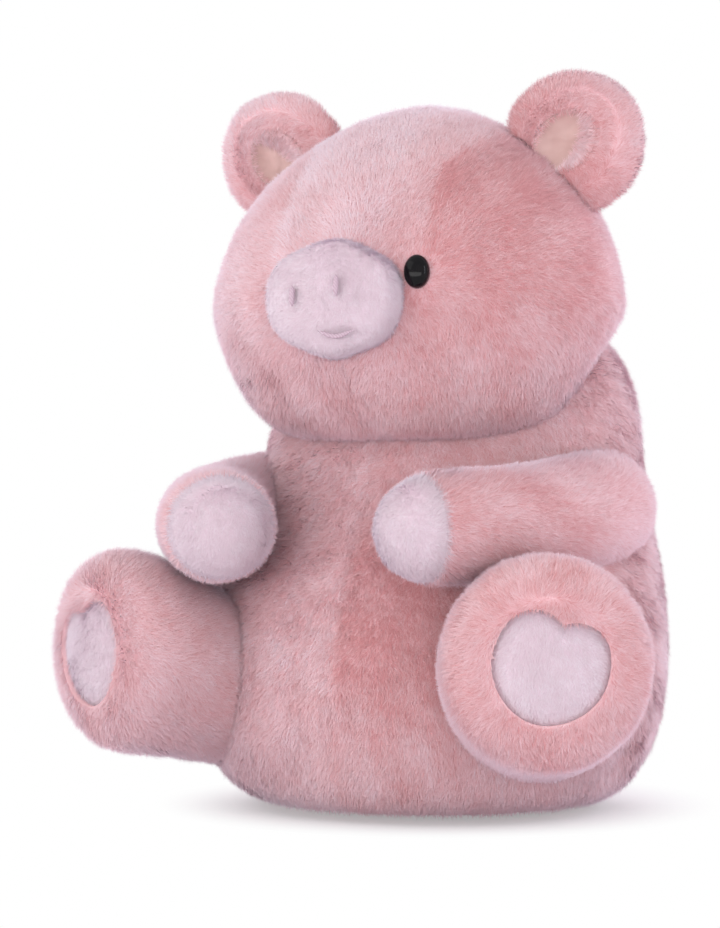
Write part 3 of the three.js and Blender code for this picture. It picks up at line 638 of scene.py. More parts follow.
def head_shape(points):
    """The head's sewn lines: either side of the forehead's panel, and from the snout to the chin."""
    x, y, z = points.T
    front = y < CHIN.front * MM
    brow = np.exp(-((from_panel(x, z) / BROW.half) ** 2))
    brow = brow * (y < BROW.behind * MM) * rise(z, *BROW.rises)
    chin = dent((x, CHIN.half)) * front * rise(-z, *CHIN.falls)
    pucker = dent((x, PUCKER.half), (z - PUCKER.up * MM, PUCKER.half)) * front
    depth = (BROW.depth * brow + CHIN.depth * chin + PUCKER.depth * pucker) * MM
    scale = 1 - depth / np.maximum(np.hypot(x, y), 20 * MM)
    return columns(x * scale, y * scale, z)


HEAD_FORM = Form(HEAD_SHARES, HEAD_SIZES, shift(*HEAD_BASE), shape=head_shape)


def surface_spot(form, start, way):
    """Where a line from inside leaves a form."""
    start, way = np.array(start, float) * MM, unit(np.array(way, float))
    near, far = 0.0, 200 * MM
    for _ in range(40):
        half = (near + far) / 2
        if form.depth((start + way * half)[None])[0] > 0:
            near = half
        else:
            far = half
    return start + way * near


def spot_facing(form, spot, reach=2 * MM):
    """The way that a form's surface faces at a spot on it."""
    steps = np.eye(3) * reach
    change = [form.depth((spot + s)[None])[0] - form.depth((spot - s)[None])[0] for s in steps]
    return unit(-np.array(change))


SNOUT_Z = HEAD_BASE[2] + SNOUT.lift
SNOUT_FACE = surface_spot(HEAD_FORM, (0, HEAD_BASE[1], SNOUT_Z), (0, -1, 0))
SNOUT_ROOT = (0, SNOUT_FACE[1] + (SNOUT.length - SNOUT.proud) * MM, SNOUT_Z * MM)


# The snout's flats, and its swelling beside the far eye. A swelling or a pull has a place, two half widths
# and a strength.
FLATS, SWELLING = Sizes(count=6, depth=0.02, turn=0.5), (-26, 6, 8, 11, 0.05)
PULLED = 1.8
PULLS = [(*spot, 2.2, 5.5, 1) for spot in NOSTRILS] + [(*MOUTH, 9, 2.4, 0.9), (15, 2, 3, 9, 0.35)]


def at_spot(x, y, spot):
    across, up, half, tall, strength = spot
    return strength * dent((x - across * MM, half), (y - up * MM, tall))


def snout_shape(points):
    """Soft flats round the snout's rim, and the pulls of the nostrils and the mouth."""
    x, y, z = points.T
    rim = 1 - FLATS.depth * np.cos(FLATS.count * np.arctan2(y, x) + FLATS.turn)
    rim = rim + at_spot(x, y, SWELLING)
    x, y = x * rim, y * rim
    pull = sum(at_spot(x, y, spot) for spot in PULLS)
    return columns(x, y, z - PULLED * MM * pull * rise(z, 20, 28))


SNOUT_FORM = Form(
    SNOUT_SHARES,
    (SNOUT.length, SNOUT.half, SNOUT.below, SNOUT.above),
    frame_along(SNOUT_ROOT, (0, -1, 0), (0, 0, 1)),
    shape=snout_shape,
)


def arm_form(sign):
    out, drop = math.radians(ARM_TURN.outward), math.radians(ARM_TURN.drop)
    along = (math.sin(out) * math.cos(drop), -math.cos(out) * math.cos(drop), -math.sin(drop))
    matrix = mirror(frame_along(np.array(SHOULDER) * MM, along, (0, 0, 1)), sign)
    bend = math.radians(ARM_TURN.bend)
    sizes = (ARM.length, ARM.half, ARM.below, ARM.above)
    return Form(ARM_SHARES, sizes, matrix, ARM.behind, (ARM_TURN.over * MM / bend, bend))


def leg_form(sign):
    splay = math.radians(LEG_SPLAY)
    matrix = frame_along(np.array(HIP) * MM, (math.sin(splay), -math.cos(splay), 0), (0, 0, 1))
    sizes = (LEG.length, LEG.half, LEG.below, LEG.above)
    return Form(LEG_SHARES, sizes, mirror(matrix, sign), LEG.behind)


ARMS = {word: arm_form(sign) for word, sign in SIDES}
LEGS = {word: leg_form(sign) for word, sign in SIDES}
DOWN = np.array([0.0, 0.0, -1.0])


def towards(normals, way):
    """The way along the skin that is nearest to a way in space."""
    return unit(way - normals * (way * normals).sum(1, keepdims=True))


def spun(ways, normals, angle):
    side = np.cross(normals, ways)
    return ways * np.cos(angle)[:, None] + side * np.sin(angle)[:, None]


def leaning(normals, way, tilt):
    return normals * np.cos(tilt)[:, None] + way * np.sin(tilt)[:, None]


def patches(points, seed, kinds, start=0.0):
    """Smooth patches over a cloth, added to a start."""
    return sum((strength * ripple(points, size * MM, seed + step) for strength, size, step in kinds), start)


def strands(cloth, coat, dense, comb, keep, tall, wild, lean, fine, seed, tones, shade_by, shorter):
    """Tapered fibres on a cloth, combed one way with a little disorder, each in a tone of its own."""
    roots, normals = cloth.scatter(int(cloth.area() / MM**2 * (coat.each * dense) * DETAIL))
    held = keep(roots, normals)
    roots, normals = roots[held], normals[held]
    n = len(roots)
    way = towards(normals, comb(roots, normals) + 1e-6)
    way = spun(way, normals, patches(roots, seed, SWIRL) + draw.normal(0, wild * coat.stray, n))
    tilt = patches(roots, seed, UNEVEN, lean - coat.upright)
    tilt = np.clip(tilt + draw.normal(0, SPREAD.tilt, n), *TILTS)
    first = leaning(normals, way, tilt)
    long = tall * coat.long * MM * draw.uniform(*SPREAD.long, n) * patches(roots, seed, LENGTHS, 1)
    long = (long * shorter(roots))[:, None]
    flat = unit(np.cross(first, normals) + 1e-9)
    roll = draw.uniform(*SPREAD.roll, n)[:, None]
    flat = flat * np.cos(roll) + np.cross(first, flat) * np.sin(roll)
    outward = np.sign((np.cross(flat, first) * normals).sum(1) + 1e-9)
    width = coat.width * fine
    half = flat * (outward * width * MM / 2 * draw.uniform(*SPREAD.width, n))[:, None]
    # A fibre's tone: random patches and spread, plus the painted light and shade that the piece gives.
    shade = patches(roots, seed, MOTTLE) + draw.normal(0, SPREAD.tone, n) + shade_by(roots)
    tone = np.digitize(shade, TONE_STEPS[len(tones)])
    if coat.bent:
        middle = roots + first * long * 0.5
        tip = middle + leaning(normals, way, np.minimum(tilt + BENT_BY, MOST_BENT)) * long * 0.5
        waist = half * WAIST
        points = columns(roots - half, roots + half, middle - waist, middle + waist, tip)
        faces = np.array([[0, 1, 3], [0, 3, 2], [2, 3, 4]])
        # A bent fibre's lower part is a tone deeper: its own paler tip, and painted shade deep in the pile.
        tone = np.stack([np.maximum(tone - 1, 0)] * 2 + [tone], 1)
    else:
        points = columns(roots - half, roots + half, roots + first * long)
        faces = np.array([[0, 1, 2]])
        tone = tone[:, None]
    points[..., 2] = np.maximum(points[..., 2], OFF_FLOOR * MM)
    blade = unit(np.cross(half, first))
    facing = unit(normals * FACING.skin + blade * FACING.blade + way * FACING.way)
    return points, faces, tone, facing


def hold(piece, body):
    """Rides a piece on its body, or, for a piece between two bodies that a joint joins, bakes its place into
    its mesh.
    """
    if isinstance(body, str):
        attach(piece, body)
    else:
        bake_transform(piece)


def grow(
    name, body, cloth, comb, keep, tall, seed, tones=PINK_FIBRES, wild=0.4, dense=1.0, lean=0.93,
    shade_by=lambda p: 0.0, shorter=lambda p: 1.0, slot="plush",
):
    """The pile on a cloth: short straight fibres below, and longer bent ones over them."""
    fine = PALE_WIDTH if tones is PALE_FIBRES else 1.0
    for word, coat in COATS.items():
        made = strands(cloth, coat, dense, comb, keep, tall, wild, lean, fine, seed, tones, shade_by, shorter)
        points, faces, tone, facing = made
        most = MOST_FACES // len(faces)
        for part, start in enumerate(range(0, len(points), most)):
            some = points[start : start + most]
            corners = some.shape[1]
            loops = corners * np.arange(len(some))[:, None, None] + faces
            ways = np.repeat(facing[start : start + most], corners, 0)
            picks = tone[start : start + most].ravel()
            title = f"{name}_{word}_{part + 1}"
            piece = mesh_object(title, some.reshape(-1, 3), [loops.reshape(-1, 3)], tones, picks, ways)
            hold(piece, body)


def all_of(*tests):
    return lambda p, n: np.all([test(p, n) for test in tests], axis=0)


def clear_of(form, depth):
    """Keeps the roots that lie less than a depth inside another form."""
    return lambda p, n: form.depth(p) < depth * MM


def above_floor(p, n):
    """Leaves out the rim by the floor, and the flat that the pig sits on."""
    return (p[:, 2] > 1.2 * MM) & ~((n[:, 2] < -0.93) & (p[:, 2] < 8 * MM))


def skin(name, body, cloth, material, node, cutters):
    """A padded piece's cloth, which stands for its CAD node."""
    made = cloth_object(name, cloth, material)
    if cutters:
        cut_away(made, cutters)
    hold(made, body)
    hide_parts(node)


# What all pale piles have in common, and the painted shade of an arm's or a leg's pile: deeper on the
# pig's left, which the camera and the side lamp face, and a little paler on its right.
PALE_PILE = dict(tall=SHORT_PILE, tones=PALE_FIBRES, dense=1.5, lean=1.0)
LIMB_PAINTED_LIGHT = {word: -0.2 - 0.35 * sign for word, sign in SIDES}


def plush(name, body, cloth, node, comb, keep, seed, tall=PILE, cutters=(), fill=0.8, pale=False, **pile):
    """A stuffed piece: its cloth, which stands for its CAD node, with the pile on it."""
    slot, ground = ("pale_plush", PALE_CLOTH) if pale else ("plush", PINK_CLOTH)
    skin(f"{name}_cloth", body, cloth, ground, node, cutters)
    kind = PALE_PILE if pale else dict(tall=tall)
    grow(f"{name}_pile", body, cloth, comb, keep, seed=seed, slot=slot, **kind, **pile)


# Body: how high its flat lies, and from where on the back how much of the pile stands.
FLAT_UP, BACK_FROM, BACK_SHARE = 0.6, 35, 0.7
body_cloth = BODY_FORM.cloth(120, PILE)
body_cloth.points[:, 2] = np.maximum(body_cloth.points[:, 2], FLAT_UP * MM)
body_cloth.find_normals()


def body_comb(p, n):
    return DOWN + 0.25 * unit(p * [1, 1, 0])


def body_painted_light(p):
    """Painted shade and light: deeper on the pig's left of the belly's seam, paler on its right and on the
    back.
    """
    x, y, z = p.T
    high = rise(z, 28, 60) * (1 - rise(z, 105, 130))
    belly = 0.35 * rise(-x, -1, 3) - (0.05 + 1.35 * high) * rise(x, -1, 4)
    return rise(-y, 20, 60) * belly + 0.7 * rise(y, 0, 50)


body_keep = all_of(
    above_floor,
    lambda p, n: (p[:, 1] < BACK_FROM * MM) | (draw.uniform(size=len(p)) < BACK_SHARE),
    clear_of(HEAD_FORM, 12),
    *(clear_of(limb, 8) for limb in (*ARMS.values(), *LEGS.values())),
)
plush("body", "body", body_cloth, "body_skin", body_comb, body_keep, 10, fill=0.85, shade_by=body_painted_light)


# Head
def neck_seat(gap, low=110, start=120, sides=72):
    """The crown of the body, as the head turns on it, as a skin turned about the neck's axis."""
    rows = PEAR.table
    turn = full_turn(sides)
    back, front = rows[:, 3:4], rows[:, 2:3]
    x, y = rows[:, 1:2] * np.cos(turn), (back - front) / 2 + (back + front) / 2 * np.sin(turn)
    reach = np.where(y <= NECK[1] * MM, np.hypot(x, y - NECK[1] * MM), 0).max(1)
    height = rows[:, 0] - BODY.cut * MM
    held = (height > start * MM) & (reach > gap * MM)
    reach, height = reach[held] + gap * MM, height[held] + gap * 0.6 * MM
    profile = [(reach[0], low * MM), *zip(reach, height)]
    return turned_form(profile, sides, (0, NECK[1] * MM, 0), low * MM, height[-1])


# The spots that the pile of the head and of the snout is combed away from. How far before or behind its plane
# an eye still counts, in millimetres, and the distance that stands for no eye.
SNOUT_SPOT, SNOUT_HEART = (np.array([0, front, SNOUT_Z]) * MM for front in (-118, -95))
NEAR_EYE, FAR_AWAY = 14, 1e3
EYES = {}
for word, sign in SIDES:
    deeper, _, inward = EYE_PULL[word]
    start = (sign * (EYE_PLACE.out - inward), HEAD_BASE[1], HEAD_BASE[2] + EYE_PLACE.up)
    spot = surface_spot(HEAD_FORM, start, (0, -1, 0))
    facing = spot_facing(HEAD_FORM, spot)
    EYES[word] = frame_along(spot - facing * (EYE_PLACE.sink + deeper) * MM, facing, (0, 0, 1))


def from_eye(p):
    """How far from the nearer eye's edge, in millimetres, and the way out from its middle."""
    best, out = np.full(len(p), FAR_AWAY), np.zeros_like(p)
    for word, base in EYES.items():
        local = (p - base[:3, 3]) @ base[:3, :3] / EYE_PULL[word][1]
        share = np.hypot(local[:, 0] / (EYE.half * MM), local[:, 1] / (EYE.tall * MM))
        away = np.where(np.abs(local[:, 2]) < NEAR_EYE * MM, (share - 1) * EYE.half, FAR_AWAY)
        nearer = away < best
        best = np.where(nearer, away, best)
        out[nearer] = p[nearer] - base[:3, 3]
    return best, unit(out)


def head_comb(p, n):
    """Away from the snout, down over chin and cheeks, and out round the near eye."""
    low = rise(-p[:, 2:3], -215, -175)
    far, out = from_eye(p)
    push = 2.5 * np.exp(-((far[:, None] / 4) ** 2)) * (p[:, :1] > 0)
    return unit(p - SNOUT_SPOT) * (1 - 0.75 * low) + DOWN * (0.2 + 1.1 * low) + out * push


def head_painted_light(p):
    """Painted light and shade: the forehead's panel paler, the cheeks beside it deeper, the pig's left cheek
    most.
    """
    x, y, z = p.T
    up = rise(z, 205, 235)
    side = ease(from_panel(x, z - HEAD_BASE[2] * MM), -1.5, 2.5)
    right = rise(x, 12, 32) - 0.7 * rise(-x, 20, 50)
    return rise(-y, 0, 30) * (up * (0.95 - 1.4 * side) - 0.1 * (1 - up) - 1.05 * right * rise(z, 170, 208))


head_keep = all_of(clear_of(PEAR, 2.5), clear_of(SNOUT_FORM, 1.5), lambda p, n: from_eye(p)[0] > -0.4)
plush(
    "head", "head", HEAD_FORM.cloth(120, PILE), "head_skin", head_comb, head_keep, 30,
    cutters=[cloth_object("cutter", neck_seat(0.4))], fill=0.9, shade_by=head_painted_light,
    shorter=lambda p: lerp(0.5, 1.0, ease(from_eye(p)[0], 0, 5)),
)


# Snout
def snout_comb(p, n):
    return unit((p - SNOUT_HEART) * [1, 0.2, 1]) * 0.8 + DOWN


plush(
    "snout", "head", SNOUT_FORM.cloth(96, SHORT_PILE), "snout", snout_comb, clear_of(HEAD_FORM, 5), 50,
    fill=0.9, pale=True, wild=0.6,
)

# Eyes: an oval dome, in sections with their share of the oval and of the height, and its barbed stem.
DOME = (
    (1, -0.3), (1, 0), (0.985, 0.22), (0.93, 0.42), (0.84, 0.6), (0.7, 0.765), (0.53, 0.885),
    (0.33, 0.96), (0.14, 0.993),
)
DOME_BACK, DOME_SIDES = -1.2, 64
STEM = Sizes(radius=2, barb=0.35, barbs=8, low=-15, high=-0.8, sides=24)
for word, base in EYES.items():
    profile = [(r, EYE.rim + EYE.dome * up) for r, up in DOME]
    dome = turned_form(profile, DOME_SIDES, 0, DOME_BACK, EYE.rim + EYE.dome)
    dome.points[1 : 1 + DOME_SIDES, 2] = DOME_BACK
    dome.points *= np.array([EYE.half, EYE.tall, 1]) * MM
    ridges = [(STEM.radius + STEM.barb * (i % 2), STEM.low + i) for i in range(STEM.barbs)]
    ridges.append((STEM.radius, STEM.high))
    stem = turned_form(ridges, STEM.sides, 0, STEM.low, STEM.high)
    stem.points *= MM
    points = place(base, np.vstack([dome.points, stem.points]))
    count = len(dome.points)
    faces = [dome.quads, stem.quads + count, dome.caps, stem.caps + count]
    piece = mesh_object(f"eye_{word}_dome", points, faces, [GLOSS])
    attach(piece, "head")
    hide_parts(f"eye_{word}")

# Arms and their pads: the gap between the two, and how far the pad takes to reach its own depth.
PAD_GAP, PAD_EASE = 0.3, 6


def build_arm(word):
    form, body = ARMS[word], f"arm_{word}"
    cloth = form.cloth(72, PILE, end=PAD_FROM)
    cutters = swept(PEAR.cloth(96, CUT_DEPTH), SHOULDER, (-1, 0, 0), *MOVES.shoulder)

    def along_arm(p):
        return form.local(p)[:, 2] / MM

    def arm_comb(p, n):
        turn = np.clip(form.local(p)[:, 2] / form.bend[0], 0, form.bend[1])
        return form.ways(columns(np.sin(turn), 0 * turn, -np.cos(turn))) + 0.25 * DOWN

    def pad_comb(p, n):
        face = ease(along_arm(p), PAD_FROM + 3, PAD_FROM + 12)[:, None]
        return arm_comb(p, n) * (1 - face) + DOWN * face

    def over_pad(z):
        return ease(z, PAD_FROM, PAD_FROM + PAD_EASE)

    keep = all_of(clear_of(PEAR, 2.0), lambda p, n: along_arm(p) < PAD_FROM - 0.5)
    plush(
        f"arm_{word}", body, cloth, f"arm_skin_{word}", arm_comb, keep, 60, cutters=cutters, fill=0.75,
        shade_by=lambda p: LIMB_PAINTED_LIGHT[word],
    )
    pad = form.cloth(
        72, lambda z: lerp(PILE + PAD_GAP, SHORT_PILE, over_pad(z)), start=PAD_FROM + PAD_GAP, every=1
    )
    plush(
        f"paw_{word}", body, pad, f"paw_pad_{word}", pad_comb, lambda p, n: along_arm(p) > PAD_FROM + 0.4, 70,
        pale=True, wild=0.6, shorter=lambda p: lerp(2.1, 1.0, over_pad(along_arm(p))),
    )


# Legs, with their soles
SOLE = Sizes(half=21.5, height=42, up=18.5, notch=5, notch_half=6, thick=4.5, recess=2.5, turn=18)
# Where along the leg the foot's face begins, the way back from it in the leg's own axes, how far its pad's
# cushion is crowned, and the shares of the cushion's rings.
FOOT_FROM, ROOTWARD = 60, np.array([0.0, 0.0, -1.0])
CROWN, CROWN_RINGS = 2.2, (1.0, 0.88, 0.7, 0.5, 0.3, 0.15, 0.05)
# The root of a leg stays sewn to the body. Where a leg would start to turn: a stretch along a line that is
# tilted as its rim is, worked out but not used to bend the leg's pieces.
LEG_BEND = Sizes(line=(0.2, -0.15, 0.97), start=34, end=68)


def sole_outline(amount, steps=14):
    """The heart-shaped pad's outline, its notch at the top, in the section of the foot."""
    half, top = SOLE.half + amount, SOLE.height / 2 + amount
    dip = top - SOLE.notch
    curves = [
        [(0, dip), (SOLE.notch_half, top), (half, top), (half, 0)],
        [(half, 0), (half, -top / 2), (half / 2, -top), (0, -top)],
        [(0, -top), (-half / 2, -top), (-half, -top / 2), (-half, 0)],
        [(-half, 0), (-half, top), (-SOLE.notch_half, top), (0, dip)],
    ]
    t = np.arange(steps)[:, None] / steps
    points = []
    for a, b, c, d in (np.array(curve, float) for curve in curves):
        points.append(a * (1 - t) ** 3 + 3 * b * t * (1 - t) ** 2 + 3 * c * t**2 * (1 - t) + d * t**3)
    flat = np.vstack(points)
    turn = -math.radians(SOLE.turn)
    x = flat[:, 0] * math.cos(turn) - flat[:, 1] * math.sin(turn)
    y = flat[:, 0] * math.sin(turn) + flat[:, 1] * math.cos(turn)
    return columns(x, y + SOLE.up) * MM


def in_outline(outline, xy):
    """Which points lie inside a closed outline."""
    inside = np.zeros(len(xy), bool)
    for (x1, y1), (x2, y2) in zip(outline, np.roll(outline, -1, 0)):
        crosses = (y1 > xy[:, 1]) != (y2 > xy[:, 1])
        slope = (x2 - x1) / (y2 - y1) if y1 != y2 else 0
        inside ^= crosses & (xy[:, 0] < x1 + (xy[:, 1] - y1) * slope)
    return inside


def on_end(form, xy, inset):
    """The points of a form's far end over points of its section, moved in by inset."""
    rows = form.table
    z = np.linspace(rows[len(rows) // 2, 0], rows[-1, 0], 400)
    width, low, high = form.row(z)
    mid, reach = (high - low) / 2, np.maximum((high + low) / 2, 1e-6)
    inside = np.hypot(xy[:, :1] / np.maximum(width, 1e-6), (xy[:, 1:] - mid) / reach) <= 1
    height = z[inside.shape[1] - 1 - np.argmax(inside[:, ::-1], 1)] - inset * MM
    return place(form.matrix, np.column_stack([xy, height]))


def bent_leg(word, form):
    line = unit(np.array([LEG_BEND.line])) * MM
    start, end = (tuple(place(form.matrix, line * along)[0]) for along in (LEG_BEND.start, LEG_BEND.end))
    return "body", f"leg_{word}", start, end


RIM, PIT, WELL_INSIDE = (sole_outline(amount) for amount in (0, 0.3, -2))
NEAR_PAD = [sole_outline(amount) for amount in (2.5, 4.5, 6.5)]


def build_leg(word):
    form, body = LEGS[word], f"leg_{word}"
    cloth, bend = form.cloth(88, PILE), bent_leg(word, form)
    centre = RIM.mean(0)[None]
    front, back = SOLE.recess + SHORT_PILE * 0.6, SOLE.recess + SOLE.thick + 1.5
    walls, ends = ([on_end(form, xy, depth) for depth in (back + 0.4, -6)] for xy in (PIT, centre))
    pit = Cloth(walls, *ends)
    cutters = [cloth_object("cutter", cut) for cut in (BODY_FORM.cloth(96, CUT_DEPTH), pit)]

    def leg_comb(p, n):
        """Along the leg, and out from the pad on the foot's face."""
        x, y, z = form.local(p).T
        face = rise(z, 60, 85)[:, None]
        from_pad = columns(x, y - SOLE.up * MM, 0 * x)
        far = rise(np.linalg.norm(from_pad, axis=1, keepdims=True), 22, 31)
        return form.ways(ROOTWARD * (1 - face) + unit(from_pad) * face * far) + 0.35 * DOWN

    def off_pad(p, n):
        local = form.local(p)
        return ~(in_outline(PIT, local[:, :2]) & (local[:, 2] > FOOT_FROM * MM))

    def leg_short(p):
        local = form.local(p)
        near = sum(in_outline(ring, local[:, :2]) for ring in NEAR_PAD) * (local[:, 2] > FOOT_FROM * MM)
        return 1 - 0.08 * near

    def sole_comb(p, n):
        from_pad = form.local(p) - [0, SOLE.up * MM, 0]
        far = rise(np.linalg.norm(from_pad[:, :2], axis=1), 10, 17)[:, None]
        return form.ways(unit(from_pad * [1, 1, 0])) * 0.6 * far + DOWN

    keep = all_of(clear_of(BODY_FORM, 2.0), off_pad)
    plush(
        f"leg_{word}", bend, cloth, f"leg_skin_{word}", leg_comb, keep, 80, cutters=cutters, fill=0.85,
        shorter=leg_short, shade_by=lambda p: LIMB_PAINTED_LIGHT[word],
    )
    # The pad: a crowned cushion inside the outline, from its back to the middle of its face.
    rings = [on_end(form, RIM, back)]
    for share in CROWN_RINGS:
        rings.append(on_end(form, centre + (RIM - centre) * share, front + CROWN * share**6))
    pad = Cloth(rings, *(on_end(form, centre, depth) for depth in (back, front)))
    plush(
        f"sole_{word}", body, pad, f"sole_pad_{word}", sole_comb, lambda p, n: n @ form.matrix[:3, 2] > 0.2,
        90, fill=0.6, pale=True,
        shorter=lambda p: np.where(in_outline(WELL_INSIDE, form.local(p)[:, :2]), 1, 1.8),
    )


# Ears, with their linings
DISH = Sizes(half=12, depth=9.5, length=14, along=8)
# Where the satin shows: its middle, how far it turns in the ear, and its two half widths.
SHOWS = dict(left=(-3, 6, 24, 8.2, 16), right=(-4, 7, 6, 7.8, 16))
# The satin: its share of the dish, its thickness, how far it lies before the cloth, and its rings.
SATIN_SHARE, SATIN_THICK, SATIN_FRONT, SATIN_SIDES = 0.98, 0.8, 0.7, 64
SATIN_RINGS = (0.08, 0.2, 0.35, 0.5, 0.65, 0.8, 0.92, 1.0)
# An ear's painted shade and light: how much deeper its pile is, how much paler at the top, and where along,
# in mm.
EAR_PAINTED_LIGHT = Sizes(deeper=0.65, paler=1.5, along=(8, 48))


def dish_back(x, z, spread, wider):
    """How far back the ear's hollow reaches, as the lining lies in it."""
    half, length = (DISH.half * spread + wider) * MM, (DISH.length + wider) * MM
    inside = 1 - (x / half) ** 2 - ((z - DISH.along * MM) / length) ** 2
    hollow = -EAR.front * MM + DISH.depth * MM * np.sqrt(np.maximum(inside, 0))
    return np.where(inside > 0, hollow, -1)


def satin_dish(matrix, spread):
    """The lining: a thin satin dish with a fold and a pleat across it."""
    turn, rings = full_turn(SATIN_SIDES), []
    for share in SATIN_RINGS:
        x = DISH.half * SATIN_SHARE * spread * MM * share * np.cos(turn)
        z = (DISH.along + DISH.length * SATIN_SHARE * share * np.sin(turn)) * MM
        y = -EAR.front * MM + DISH.depth * MM * np.sqrt(1 - (0.96 * share) ** 2) + 0 * x
        fold = dent((x * 0.75 - (z - 12 * MM) * 0.65, 1.5)) * (1 - share**4)
        pleat = dent((x + 4 * MM, 1.1)) * (1 - share**4)
        wave = 0.3 * MM * np.sin(9 * turn + 1.3) * share**2
        y = y + 1.8 * MM * share**8 - 0.9 * MM * fold + 0.7 * MM * pleat + wave
        rings.append(columns(x, y - SATIN_FRONT * MM, z))
    thick = np.array([0, SATIN_THICK * MM, 0])
    ends = [np.array([[0, rings[0][:, 1].mean(), DISH.along * MM]]) + way for way in (thick, 0 * thick)]
    stack = [ring + thick for ring in rings] + rings[::-1]
    return Cloth([place(matrix, ring) for ring in stack], *(place(matrix, end) for end in ends))


def build_ear(word, sign):
    lift, lean, spread = EAR_TURN[word]
    lift, lean = math.radians(lift), math.radians(lean)
    along = (sign * math.cos(lift) * math.cos(lean), math.sin(lean), math.sin(lift) * math.cos(lean))
    start = (0, HEAD_BASE[1] + EAR_PLACE.back, HEAD_BASE[2] + EAR_PLACE.up)
    root = surface_spot(HEAD_FORM, start, (sign, 0, 0))
    matrix, body = frame_along(root, along, (0, 1, 0)), f"ear_{word}"
    sizes = (EAR.length, EAR.half * spread, EAR.front, EAR.back)
    form = Form(EAR_SHARES, sizes, matrix, EAR.rooted)
    cloth = form.cloth(96, EAR_PILE, every=1)
    x, y, z = form.local(cloth.points).T
    y = np.where(y < 0, np.maximum(y, dish_back(x, z, spread, 1.2) + 0.4 * MM), y)
    cloth.points = place(matrix, columns(x, y, z))
    cloth.find_normals()
    cutters = swept(HEAD_FORM.cloth(72, CUT_DEPTH), root / MM, matrix[:3, 0], *MOVES.ear)

    def ear_comb(p, n):
        """Out to the ear's rim, and in over the edge of the satin."""
        x, y, z = form.local(p).T
        out = columns(x * 1.2, 0 * x, z + 8 * MM)
        inward = -columns(x, 0 * x, z - DISH.along * MM)
        share = np.linalg.norm(inward / [DISH.half * MM, 1, DISH.length * MM], axis=1, keepdims=True)
        near = (1 - ease(share, 1.3, 2.0)) * (1 - rise(y, -4, 4)[:, None])
        return form.ways(unit(out) * (1 - near) + unit(inward) * near)

    def off_satin(p, n):
        x, y, z = form.local(p).T / MM
        oval = (x / (DISH.half * spread)) ** 2 + ((z - DISH.along) / DISH.length) ** 2
        return (oval > 0.97) | (y > 0)

    def past_shows(p, n):
        """Where the satin's edge is hidden by the pile."""
        x, z, turn, half, length = SHOWS[word]
        local, turn = form.local(p) / MM, math.radians(turn)
        dx, dz = local[:, 0] - x, local[:, 2] - z
        across = (dx * math.cos(turn) + dz * math.sin(turn)) / half
        up = (dz * math.cos(turn) - dx * math.sin(turn)) / length
        return (across**2 + up**2 > 1) & (n @ form.matrix[:3, 1] < -0.1)

    def ear_painted_light(p):
        """Painted light and shade: the top paler than the root, and the pig's left ear deeper."""
        up = rise(form.local(p)[:, 2], *EAR_PAINTED_LIGHT.along)
        return EAR_PAINTED_LIGHT.paler * up - EAR_PAINTED_LIGHT.deeper - 0.35 * sign

    name, satin, keep = f"ear_{word}", satin_dish(matrix, spread), all_of(clear_of(HEAD_FORM, 2.5), off_satin)
    plush(name, body, cloth, name, ear_comb, keep, 110, EAR_PILE, cutters, 0.5, shade_by=ear_painted_light)
    # The fringe over the satin's edge is made paler: painted light against the hollow's shade.
    fringe = dict(dense=1.2, shade_by=lambda p: 0.35)
    grow(f"{name}_fringe", body, satin, ear_comb, past_shows, EAR_PILE, 120, **fringe)
    skin(f"{name}_satin", body, satin, SATIN, f"ear_lining_{word}", ())


for word, _ in SIDES:
    build_arm(word)
for word, _ in SIDES:
    build_leg(word)
for word, sign in SIDES:
    build_ear(word, sign)

# Tail: a tube along a curl, its ring of so many sides closing over the last share of its length.
TAIL_SIDES, TAIL_CLOSES = 20, 0.12
out_of_body = surface_spot(PEAR, (0, 0, TAIL.up), (0, 1, 0))
t = np.linspace(0, 1, 60)
turn = 2 * math.pi * TAIL.turns * t
out = TAIL.curl * (1 - (1 - t) ** 2)
up = TAIL.rise * t + out * (1 - np.cos(turn))
path = columns(out * np.sin(turn), TAIL.reach * t - TAIL.rooted, up) * MM + out_of_body
radius = np.interp(t * (len(TAIL_SHARES) - 1), np.arange(len(TAIL_SHARES)), TAIL_SHARES) * TAIL.radius
radius = np.maximum((radius - SHORT_PILE) * np.sqrt(ease(1.02 - t, 0, TAIL_CLOSES)), 0.2) * MM
along = unit(np.gradient(path, axis=0))
side_way = unit(np.cross(along, [0, 0, 1.0]) + 1e-9)
up_way = np.cross(side_way, along)
spin = full_turn(TAIL_SIDES)[None, :, None]
ways = side_way[:, None] * np.cos(spin) + up_way[:, None] * np.sin(spin)
rings = list(path[:, None] + radius[:, None, None] * ways)
tail_cloth = Cloth(rings, path[:1], path[-1:] + along[-1:] * 0.4 * MM)
plush(
    "tail", "tail", tail_cloth, "tail", lambda p, n: 0 * p + [0, 1.0, 0], clear_of(PEAR, 2.0), 130,
    tall=SHORT_PILE, fill=0.7, dense=1.3,
)

# The inner pieces keep their own meshes.
slot_of = {row["node"]: row["material_slot"] for row in frame["record"]["subparts"]}
for node, held in frame["nodes"].items():
    material = INNER.get(slot_of[node])
    if material is None:
        continue
    held.data.materials.clear()
    held.data.materials.append(material)

# Floor, light and camera
scene = bpy.context.scene
scene.view_settings.view_transform = "Standard"

